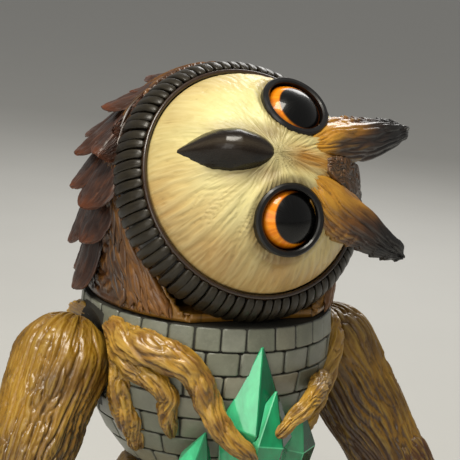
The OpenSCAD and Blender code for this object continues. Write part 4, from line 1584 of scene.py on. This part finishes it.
@dataclass
class Tower:
    """The tower body: brick courses over the dark core, the roots over them, and the crystals."""

    arc_x: float = -18.6
    arc_r: float = 57.8
    belly: float = NECK - 10.0
    waist: float = NECK - 54.0
    course: float = 7.25
    joint: float = 0.55
    body: str = "body"

    def girth(self, z: Array) -> Array:
        """Gives the radius of the tower at a height."""
        return self.arc_x + np.sqrt(self.arc_r**2 - (np.asarray(z, float) - self.belly) ** 2)

    def build(self) -> None:
        """Builds all pieces of the tower."""
        self.bricks()
        self.roots(-1, RIGHT_ROOTS)
        self.roots(1, LEFT_ROOTS)
        self.crystals()

    def clear_of_wings(self, points: Array, gap: float) -> Array:
        """Sinks points towards the tower's axis until they are out of the wings' way.

        Args:
            points: Points near the tower.
            gap: Room that is kept.

        Returns:
            The moved points.
        """
        slope = math.radians(29.32)
        start = SHOULDER_OUT - SHOULDER_R * math.cos(slope) - gap / math.cos(slope)
        way = unit(points * np.array([1, 1, 0]))
        q = np.hypot(points[:, 0], points[:, 1])
        steps, step = 32, 0.25
        for _ in range(steps):
            x = np.abs(q * way[:, 0])
            off = np.hypot(q * way[:, 1], points[:, 2] - SHOULDER_Z)
            hit = off < SHOULDER_R * math.sin(slope) + (x - start) / math.tan(slope)
            hit |= np.hypot(x - SHOULDER_OUT, off) < SHOULDER_R + gap
            q = np.where(hit, q - step, q)
        return way * q[:, None] + points * np.array([0, 0, 1])

    def bricks(self) -> None:
        """Lays the courses of bricks: small even ones at the top, and wider ones below."""
        draw = np.random.default_rng(21)
        laid = []
        for row in range(7):
            z = NECK + 0.12 - self.course * (row + 0.5)
            count = 30 if row == 0 else 20
            bond = 0.41 if row == 0 else 0.5 * (row % 2) + 0.06
            edges = np.arange(count) + draw.uniform(-0.14, 0.14, count) + bond
            edges = np.append(edges, edges[0] + count) * math.tau / count
            for left, right in zip(edges, edges[1:]):
                laid.append(((left + right) / 2, (right - left) / 2, z, row))
        spots = np.array(laid)
        middle = np.stack([39 * np.sin(spots[:, 0]), -39 * np.cos(spots[:, 0]), spots[:, 2]], 1)
        moved = np.linalg.norm(self.clear_of_wings(middle, 0.5) - middle, axis=1)
        spots = spots[moved < 9]
        clay = Clay.blocks(len(spots), 4, 0.14)
        angle, half, z, row = spots[clay.which].T
        x, y, h = clay.raw.T
        tall = self.course / 2 - self.joint / 2
        height = z + h * tall
        wide = half - self.joint / 2 / 38
        ragged = NOISE.at(np.stack([clay.which * 3.1, x * 0.9, h * 0.9], 1))
        tilt = draw.normal(0, 0.1, (len(spots), 2))[clay.which]
        proud = 0.42 + ragged * 0.22 + tilt[:, 0] * x + tilt[:, 1] * h - 0.16 * (1 - y)
        depth = np.where(y > 0, proud, np.where(row == 0, -4.5, -1.4))
        q = self.girth(height) + depth
        spin = angle + x * wide * (1 + 0.02 * ragged)
        height = height + ragged * 0.12 * (row > 0)
        points = np.stack([q * np.sin(spin), -q * np.cos(spin), height], 1)
        clay.place = self.clear_of_wings(points, 0.34)
        clay.flow = clay.place.copy()
        face = np.minimum(1 - np.abs(x), 1 - np.abs(h))
        clay.depth = np.clip(0.25 + ease(face, 0.0, 0.16) * 0.5 * (y > 0) + ragged * 0.1, 0, 1)
        tone = draw.random(len(spots))[clay.which]
        grey, green, warm = linear("85877a"), linear("6d705f"), linear("8e8a78")
        paint = blend(grey, green, tone * 1.2)
        paint = blend(paint, warm, ease(tone, 0.7, 1.0))
        shade = ease(z + h * tall, NECK - 0.9, NECK - 0.1) * 0.35
        clay.paint = blend(paint, linear("33332c"), shade)
        clay.finish("tower_bricks", self.body, "tower_resin", Finish.STONE)

    def roots(self, side: int, runs: Sequence[Sequence[tuple[float, float, float, float]]]) -> None:
        """Models the roots that grow out of one shoulder over the bricks.

        Args:
            side: -1 or 1.
            runs: The knots of each root.
        """
        knots = 12
        paths, sizes = [], []
        for run in runs:
            given = np.array(run, float)
            z = NECK - given[:, 1]
            q = self.girth(z) + given[:, 2]
            turn = np.radians(given[:, 0])
            knot = np.stack([q * np.sin(turn), -q * np.cos(turn), z, given[:, 3]], 1)
            line = resample(knot, knots)
            paths.append(line[:, :3])
            sizes.append(line[:, 3])
        clay = Clay.balls(len(runs), 72, 190)
        path, size = np.array(paths), np.array(sizes)
        outward = unit(path * np.array([1, 1, 0]))
        clay.draw(path, size * 1.04, size, outward, blunt=7.0)
        twist = clay.turn + clay.flow[:, 1] * 0.05
        lane = np.stack([np.cos(twist) * 5.5, clay.flow[:, 1], np.sin(twist) * 5.5], 1)
        bark = NOISE.strands(lane, 2.3, 13, 1.2)
        fine = NOISE.strands(lane + 31, 1.0, 7, 1.2)
        lump = NOISE.at(clay.place / 5.5)
        clay.press((bark - 0.8) * 1.0 + (fine - 0.6) * 0.3 + lump * 0.6)
        clay.flow = lane
        clay.depth = np.clip(0.05 + 0.65 * bark + 0.25 * fine, 0, 1)
        # Painted shade: a dark violet-brown on the faces that look down.
        facing = clay.normals()
        under = ease(-facing[:, 2], 0.05, 0.7)
        gold, deep, purple_underside_shade = linear("b58a2c"), linear("7a5016"), linear("3c2114")
        paint = blend(gold, deep, 0.35 + lump * 0.8)
        clay.paint = blend(paint, purple_underside_shade, under * 0.9)
        clay.place = self.clear_of_wings(clay.place, 0.45)
        clay.place[:, 2] = np.minimum(clay.place[:, 2], NECK - 0.5)
        name = side_name(side)
        clay.finish(
            f"root_growth_{name}", self.body, "ochre_resin", Finish.ROOT, [f"roots_{name}"]
        )

    def crystals(self) -> None:
        """Cuts the crystals with crisp polished edges, with painted light and shade on the facets by
        the way they face and painted highlights on the narrow edge faces.
        """
        light, mid, dark = linear("4acb90"), linear("058a56"), linear("04472d")
        for name in ("tall", "front", "left", "right", "small"):
            bm = bmesh.new()
            bm.from_mesh(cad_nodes()[f"crystal_{name}"].data)
            bmesh.ops.remove_doubles(bm, verts=bm.verts[:], dist=1e-6)
            bmesh.ops.dissolve_limit(
                bm, angle_limit=math.radians(2), verts=bm.verts[:], edges=bm.edges[:]
            )
            bent = math.radians(15)
            inner = [edge for edge in bm.edges if len(edge.link_faces) == 2]
            bmesh.ops.bevel(
                bm,
                geom=[edge for edge in inner if edge.calc_face_angle(0) > bent],
                offset=0.22 * MM,
                offset_type="OFFSET",
                affect="EDGES",
                segments=1,
                profile=0.5,
                material=-1,
            )
            mesh = baked(bm, f"crystal_gem_{name}")
            layer = mesh.attributes.new("paint", "FLOAT_COLOR", "CORNER")
            bright_side, edge_area = Vector((-0.9, 0.25, 0.35)), 4e-6
            # Painted light and shade: facets that face bright_side are lighter, those that face away
            # are darker, and the narrow bevel faces get a painted highlight.
            for face in mesh.polygons:
                up = face.normal @ bright_side
                colour = blend(mid, light, np.array([ease(np.array(up), 0.2, 0.6)]))[0]
                colour = blend(colour, dark, np.array([ease(np.array(-up), 0.0, 0.5)]))[0]
                if face.area < edge_area:
                    colour = blend(colour, light, np.array([0.65]))[0]
                for corner in face.loop_indices:
                    layer.data[corner].color = colour
            mesh.materials.append(coat_of(Finish.GEM))
            piece = put(f"crystal_gem_{name}", mesh)
            enter(piece, self.body, [f"crystal_{name}"])


# ---- wings --------------------------------------------------------------------------------------


@dataclass
class Wing:
    """One wing arm: shoulder and upper arm in one lump, a forearm, and three tiers of feathers.

    Its own frame hangs straight down from the shoulder. side is -1 for the figure's right.
    """

    side: int
    elbow_r: float = 12.5
    forearm_r: float = 12.5
    wrist_r: float = 9.5
    rest: float = 25.0

    def __post_init__(self) -> None:
        """Works out the wing's frame and joints."""
        self.name = side_name(self.side)
        self.body = f"wing_{self.name}"
        self.hang = turned("X", -self.rest)
        self.shoulder = np.array([SHOULDER_OUT, 0.0, SHOULDER_Z])
        self.elbow = self.shoulder + np.array([16.5, 0, -35.5])
        slope, forearm = math.radians(34), 20
        self.wrist = self.elbow + forearm * np.array([math.sin(slope), 0, -math.cos(slope)])

    def place(self, points: Array) -> Array:
        """Takes points of the hanging wing to where it stands at rest.

        Args:
            points: The points.

        Returns:
            Their places in the figure's frame.
        """
        centre = np.array([0, 0, SHOULDER_Z])
        swung = (points - centre) @ self.hang.T + centre
        return swung * np.array([self.side, 1, 1])

    def aim(self, ways: Array) -> Array:
        """Takes directions of the hanging wing to where it stands at rest."""
        return (ways @ self.hang.T) * np.array([self.side, 1, 1])

    def build(self) -> None:
        """Builds all pieces of the wing."""
        self.limb("arm_lump", self.shoulder, self.elbow, SHOULDER_R, self.elbow_r, False)
        start = self.elbow + np.array([2.5, 0, -3])
        self.limb("forearm_lump", start, self.wrist, self.forearm_r, self.wrist_r, True)
        self.tier("coverts", 9.4, 8, 28, 12, 5, 12, -16)
        self.tier("secondaries", 5.8, 2, 30, 12, 6, 12, -18)
        self.tier("primaries", 2.2, -4, 29, 11.5, 7, 11, -18)

    def limb(
        self, name: str, top: Array, low: Array, r: float, r_low: float, fore: bool
    ) -> None:
        """Models a rounded limb with deep wavy grooves that fan out from its top.

        Args:
            name: Name of the piece.
            top: Centre of its upper end, in the hanging wing.
            low: Centre of its lower end.
            r: Radius of the upper end.
            r_low: Radius of the lower end.
            fore: Whether it is the forearm.
        """
        clay = Clay.balls(1, 200 if fore else 240, 200 if fore else 260)
        reach = float(np.linalg.norm(low - top))
        lean = math.asin((r - r_low) / reach)
        first = np.linspace(0, math.pi / 2 + lean, 40)
        last = np.linspace(math.pi / 2 + lean, math.pi, 40)
        x = np.concatenate([-r * np.cos(first), reach - r_low * np.cos(last)])
        q = np.concatenate([r * np.sin(first), r_low * np.sin(last)])
        gone = np.concatenate([[0], np.cumsum(np.hypot(np.diff(x), np.diff(q)))])
        profile = np.stack([gone / gone[-1], q, -x], 1)
        down = unit(low - top)
        back = np.array([0.0, 1.0, 0.0])
        frame = Axes(top, np.stack([back, np.cross(-down, back), -down]))
        local = clay.throw(profile, frame, r * 0.95)
        clay.place = self.place(clay.place)
        if self.side < 0:
            clay.mesh.flip_normals()
        flow = clay.flow + np.array([0, 0 if self.side < 0 else 91.0, 0])
        deep = NOISE.strands(flow, 2.4, 44, 0.6)
        mid = NOISE.strands(flow + 17, 1.3, 30, 0.7)
        fine = NOISE.strands(flow + 57, 0.8, 6, 1.0)
        wide = NOISE.at(flow / 13)
        soft = ease(clay.run, 0.0, 0.06)
        relief = (deep - 1) * 0.95 + (mid - 1) * 0.4 + (fine - 1) * 0.12
        relief = relief + wide * 0.5 + 0.25
        clay.press(np.minimum(relief * soft, 0.3) - 0.25)
        clay.flow = flow
        clay.depth = np.clip(-0.05 + 0.5 * deep + 0.35 * mid + 0.2 * fine, 0, 1)
        # Painted shade: brown on the side turned towards the body, and a darker brown towards the
        # upper arm's lower end.
        facing = clay.normals() * np.array([self.side, 1, 1])
        inner = ease(-facing[:, 0] - 0.35 * facing[:, 1], 0.25, 0.85)
        inner = inner * ease(clay.run, 0.22, 0.5)
        gold, tan, brown = linear("8f6817"), linear("694910"), linear("331b0b")
        if fore:
            gold, tan = linear("5e3916"), linear("492a0f")
        paint = blend(gold, tan, 0.4 + wide * 1.2)
        paint = blend(paint, brown, inner * 0.9)
        low_end_shade = ease(clay.run, 0.75, 1.0) * (0.0 if fore else 0.75)
        clay.paint = blend(paint, linear("5a3616"), low_end_shade)
        node = f"wing_forearm_{self.name}" if fore else f"wing_arm_{self.name}"
        slot = "russet_resin" if fore else "ochre_resin"
        clay.finish(f"{name}_{self.name}", self.body, slot, Finish.OCHRE, [node])

    def tier(
        self,
        name: str,
        out: float,
        up: float,
        length: float,
        width: float,
        count: int,
        fan: float,
        first: float,
    ) -> None:
        """Models one tier of wing feathers.

        Args:
            name: Name of the tier.
            out: How far outside the wrist the feathers start.
            up: How far above it.
            length: Length of a feather.
            width: Width of a feather.
            count: How many.
            fan: Angle between two feathers.
            first: Angle of the first one.
        """
        lean = turned("Y", -8)
        start = self.wrist + np.array([out, 0, up])
        roots, tips, outs = [], [], []
        for i in range(count):
            swing = lean @ turned("X", first + i * fan)
            roots.append(start + swing @ np.array([-1.1, 0, 0]))
            tips.append(start + swing @ np.array([-1.1, 0, -length]))
            outs.append(swing @ np.array([1.0, 0, 0]))
        plume(
            f"{name}_plumes_{self.name}",
            self.place(np.array(roots)),
            self.place(np.array(tips)),
            self.aim(np.array(outs)),
            np.full(count, width),
            ("4a2c14", "6a4522", "2c170c"),
            self.body,
            [f"wing_{name}_{self.name}"],
            curl=0.6,
            thick=1.0,
        )


# ---- legs and tail ------------------------------------------------------------------------------


@dataclass
class Stand:
    """The haunches, legs, feet with talons, and tail, which the figure stands on."""

    toe_reach: float = 54.0
    haunch_r: float = 27.0
    haunch_z: float = 46.0
    body: str = "body"

    def build(self) -> None:
        """Builds all pieces of the stand."""
        self.haunches()
        for side in (-1, 1):
            self.leg(side)
            self.foot(side)
            self.talons(side)
        self.tail()

    def fur(self, clay: Clay, low: float, high: float) -> None:
        """Puts fur on a leg or the haunches.

        Args:
            clay: What gets the fur.
            low: Height at which the fur is darkest.
            high: Height at which it is most golden.
        """
        deep = NOISE.strands(clay.flow, 2.4, 13, 1.4)
        fine = NOISE.strands(clay.flow + 13, 1.1, 8, 1.2)
        clay.press((deep - 0.85) * 0.9 + (fine - 0.8) * 0.3)
        clay.depth = np.clip(0.05 + 0.55 * deep + 0.3 * fine, 0, 1)
        clay.paint = blend(linear("5c3d1a"), linear("9a7636"), ease(clay.place[:, 2], low, high))

    def haunches(self) -> None:
        """Models the haunches."""
        clay = Clay.balls(1, 220, 120)
        top = math.degrees(math.acos(16 / self.haunch_r))
        low = 180 - math.degrees(math.acos(14 / self.haunch_r))
        arc = np.radians(np.linspace(top, low, 30))
        part = 0.2 + np.linspace(0, 1, 30) * 0.6
        height = self.haunch_z + self.haunch_r * np.cos(arc)
        mid = np.stack([part, self.haunch_r * np.sin(arc), height], 1)
        clay.throw(np.concatenate([[(0, 0, 62)], mid, [(1, 0, 32)]]), FIGURE, self.haunch_r)
        self.fur(clay, 32, 58)
        clay.place[:, 2] = np.clip(clay.place[:, 2], 32, 61.8)
        clay.finish("fur_haunches", self.body, "ochre_resin", Finish.OCHRE, ["haunches"])

    def leg(self, side: int) -> None:
        """Models one furry leg.

        Args:
            side: -1 or 1.
        """
        clay = Clay.balls(1, 150, 150)
        ankle = 8.9
        upper = [[19, 1, 54], [19.2, 0.6, 46], [19.6, 0, 36]]
        lower = [[20.4, -1, 24], [21, -2, 14], [21, -2, ankle]]
        path = np.array(upper + lower) * np.array([side, 1, 1])
        wide = np.array([[8.5, 13.6, 14.6, 11.8, 9.6, 9.2]])
        forward = np.tile([0.0, -1.0, 0.0], (1, 6, 1))
        clay.draw(path[None], wide, wide, forward, blunt=5.0)
        along = clay.flow[:, 1] + 50 * side
        clay.flow = np.stack([np.cos(clay.turn) * 13, along, np.sin(clay.turn) * 13], 1)
        self.fur(clay, 8, 45)
        clay.place[:, 2] = np.maximum(clay.place[:, 2], ankle)
        name = side_name(side)
        clay.finish(f"fur_leg_{name}", self.body, "ochre_resin", Finish.OCHRE, [f"leg_{name}"])

    def toes(self, side: int) -> list[tuple[Array, Array]]:
        """Gives where each toe starts and ends.

        Args:
            side: -1 or 1.

        Returns:
            The start and the end of three front toes and a back toe.
        """
        heel = np.array([21.0 * side, -2.0, 0.0])
        length = self.toe_reach - 11 - 2
        ends = []
        for angle in (-24, 0, 24):
            turn = math.radians(angle)
            out = side * (length - 1) * math.sin(turn) * 0.9
            ends.append((heel, heel + np.array([out, -length * math.cos(turn), 0])))
        ends.append((heel, heel + np.array([0, 18.0, 0])))
        return ends

    def foot(self, side: int) -> None:
        """Models one scaly foot.

        Args:
            side: -1 or 1.
        """
        ends = self.toes(side)
        steps = np.array([0.0, 0.25, 0.5, 0.72, 0.88, 1.0])
        rise = np.array([5.2, 5.0, 4.2, 4.5, 4.0, 3.4])
        lift = np.stack([steps * 0, steps * 0, rise], 1)
        paths = np.array([start + (end - start) * steps[:, None] + lift for start, end in ends])
        wide = np.tile(np.array([5.6, 4.9, 4.2, 4.9, 4.2, 3.4]), (4, 1))
        clay = Clay.balls(4, 56, 110)
        upward = np.tile([0.0, 0.0, 1.0], (4, 6, 1))
        far, _ = clay.draw(paths, wide, wide * 0.95, upward, blunt=5.0)
        beat = (far * 13 + 0.15 * np.cos(clay.turn * 2)) % 1
        plate = np.minimum(1, np.sin(beat * math.pi) * 1.8)
        pebble = np.minimum(1, np.abs(NOISE.at(clay.place / 1.5)) * 3)
        top = np.sin(clay.turn) > 0.3
        skin = np.where(top, plate, pebble)
        clay.press((skin - 0.6) * 0.4)
        clay.depth = np.clip(0.1 + 0.8 * skin, 0, 1)
        # Painted light and shade: the toes are lighter on top and darker underneath.
        clay.paint = blend(linear("3a2c1c"), linear("64492a"), 0.4 + 0.5 * np.sin(clay.turn))
        clay.place[:, 2] = np.maximum(clay.place[:, 2], 0)
        name = side_name(side)
        clay.finish(f"scaly_foot_{name}", self.body, "umber_resin", Finish.FEATHER)

    def talons(self, side: int) -> None:
        """Models the talons of one foot.

        Args:
            side: -1 or 1.
        """
        ends = self.toes(side)
        paths = []
        steps = np.array([-0.25, 0.1, 0.4, 0.7, 1.0])
        rise = np.array([3.3, 4.6, 4.9, 3.8, 0.9])
        lift = np.stack([steps * 0, steps * 0, rise], 1)
        for (start, end), length in zip(ends, (11, 11, 11, 8)):
            way = unit(end - start)
            paths.append(end + way * (steps * (length - 0.6))[:, None] + lift)
        clay = Clay.balls(4, 28, 40)
        wide = np.tile([2.6, 2.5, 2.0, 1.3, 0.4], (4, 1))
        upward = np.tile([0.0, 0.0, 1.0], (4, 5, 1))
        far, _ = clay.draw(np.array(paths), wide, wide * 1.1, upward, blunt=5.0)
        clay.place[:, 2] = np.maximum(clay.place[:, 2], 0.15)
        clay.paint = blend(linear("3d342a"), linear("0f0c0a"), ease(far, 0.1, 0.7))
        name = side_name(side)
        clay.finish(f"horn_talons_{name}", self.body, "horn_resin", Finish.HORN, [f"talons_{name}"])

    def tail(self) -> None:
        """Models the fan of tail feathers."""
        tilt, length = turned("X", 35), 50.3
        roots, tips, outs = [], [], []
        for i in range(5):
            angle = (i - 2) * 15.0
            swing = tilt @ turned("Y", angle)
            start = np.array([0, 23, 52.0]) + tilt @ np.array([0, -1.3 - abs(angle) * 0.02, 0])
            down = -length * math.cos(math.radians(angle / 2))
            roots.append(start)
            tips.append(start + swing @ np.array([0, 0, down]))
            outs.append(tilt @ np.array([0, 1.0, 0]))
        plume(
            "tail_plumes",
            np.array(roots),
            np.array(tips),
            np.array(outs),
            np.full(5, 15.5),
            ("3a2212", "5d3a1e", "24140b"),
            self.body,
            ["tail_feathers"],
            curl=0.3,
            thick=1.2,
        )


# ---- the rest -----------------------------------------------------------------------------------


@dataclass
class Works:
    """The nodes that show as they are: mortar core, eye rims, foot pads and the joints' parts."""

    def build(self) -> None:
        """Dresses each node that is still shown."""
        for name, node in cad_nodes().items():
            if node.hide_render:
                continue
            node.data.materials.clear()
            node.data.materials.append(coat_of(self.finish_of(name)))

    def finish_of(self, name: str) -> Finish:
        """Picks the finish of a node.

        Args:
            name: The node.

        Returns:
            Its finish.
        """
        if name.startswith("eye_rim"):
            return Finish.RIM
        if name == "tower_body":
            return Finish.MORTAR
        if name.startswith("foot"):
            return Finish.SKIN
        steel = ("axle", "clip", "screw")
        return Finish.STEEL if any(word in name for word in steel) else Finish.NYLON


@dataclass
class Studio:
    """A plain pale floor, soft lamps and the camera. Lengths are in metres."""

    aim_z: float = 0.13
    room: tuple[float, float, float, float] = (1.0, 0.98, 0.94, 1)
    room_light: float = 0.28
    focal: float = 117.4
    sensor: float = 36.0
    eye: tuple[float, float, float] = (-0.206216, -0.406473, 0.234725)
    ahead: tuple[float, float, float] = (0.4523685, 0.8668150, -0.2097488)
    up: tuple[float, float, float] = (0.0155159, 0.2275039, 0.9736536)

    def build(self) -> None:
        """Sets the studio up."""
        self.floor()
        self.lamp("key", (-0.30, -0.22, 0.85), 0.34, 6.8, (1.0, 0.95, 0.84))
        self.lamp("fill", (-0.60, -0.50, 0.30), 0.45, 1.5, (1.0, 0.96, 0.88))
        self.lamp("back", (0.45, 0.55, 0.60), 0.4, 2.5, (1.0, 0.98, 0.95))
        self.surroundings()
        self.camera()
        bpy.context.scene.view_settings.view_transform = "Standard"

    def floor(self) -> None:
        """Lays the floor."""
        bm = bmesh.new()
        bmesh.ops.create_grid(bm, x_segments=1, y_segments=1, size=4.0)
        mesh = baked(bm, "floor")
        # Matt emulsion on board: pale grey, with hardly any grain.
        emulsion = Moulded(
            "pale_matt_floor", light="c9c9c6", dark="c4c4c1", grain=60, relief=0.05, roughness=0.85
        )
        mesh.materials.append(emulsion.build())
        put("floor", mesh)

    def lamp(
        self,
        name: str,
        where: tuple[float, float, float],
        size: float,
        power: float,
        colour: tuple[float, float, float],
    ) -> None:
        """Hangs a soft square lamp that points at the figure.

        Args:
            name: Name of the lamp.
            where: Its place in metres.
            size: Its side in metres.
            power: Its power in watts.
            colour: Its colour.
        """
        light = bpy.data.lights.new(name, "AREA")
        light.shape = "SQUARE"
        light.size = size
        light.energy = power
        light.color = colour
        lamp = put(name, light)
        lamp.location = where
        aim = Vector((0, 0, self.aim_z)) - Vector(where)
        lamp.rotation_euler = aim.to_track_quat("-Z", "Y").to_euler()

    def surroundings(self) -> None:
        """Makes the room's soft light."""
        world = bpy.data.worlds.new("room")
        world.use_nodes = True
        background = world.node_tree.nodes["Background"]
        background.inputs[0].default_value = self.room
        background.inputs[1].default_value = self.room_light
        bpy.context.scene.world = world

    def camera(self) -> None:
        """Sets the camera at the angle from which the figurine is usually shown."""
        ahead = Vector(self.ahead)
        right = ahead.cross(Vector(self.up)).normalized()
        lens = bpy.data.cameras.new("camera")
        lens.lens, lens.sensor_width = self.focal, self.sensor
        camera = put("camera", lens)
        turn = Matrix((right, right.cross(ahead), -ahead)).transposed().to_4x4()
        camera.matrix_world = Matrix.Translation(self.eye) @ turn
        bpy.context.scene.camera = camera


def main() -> None:
    """Builds the figurine and its studio."""
    logging.basicConfig(level=logging.INFO, format="%(message)s")
    FRAME.update(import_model())
    Studio().build()
    Face().build()
    Head().build()
    Tower().build()
    for side in (-1, 1):
        Wing(side).build()
    Stand().build()
    Works().build()


if __name__ == "__main__":
    main()
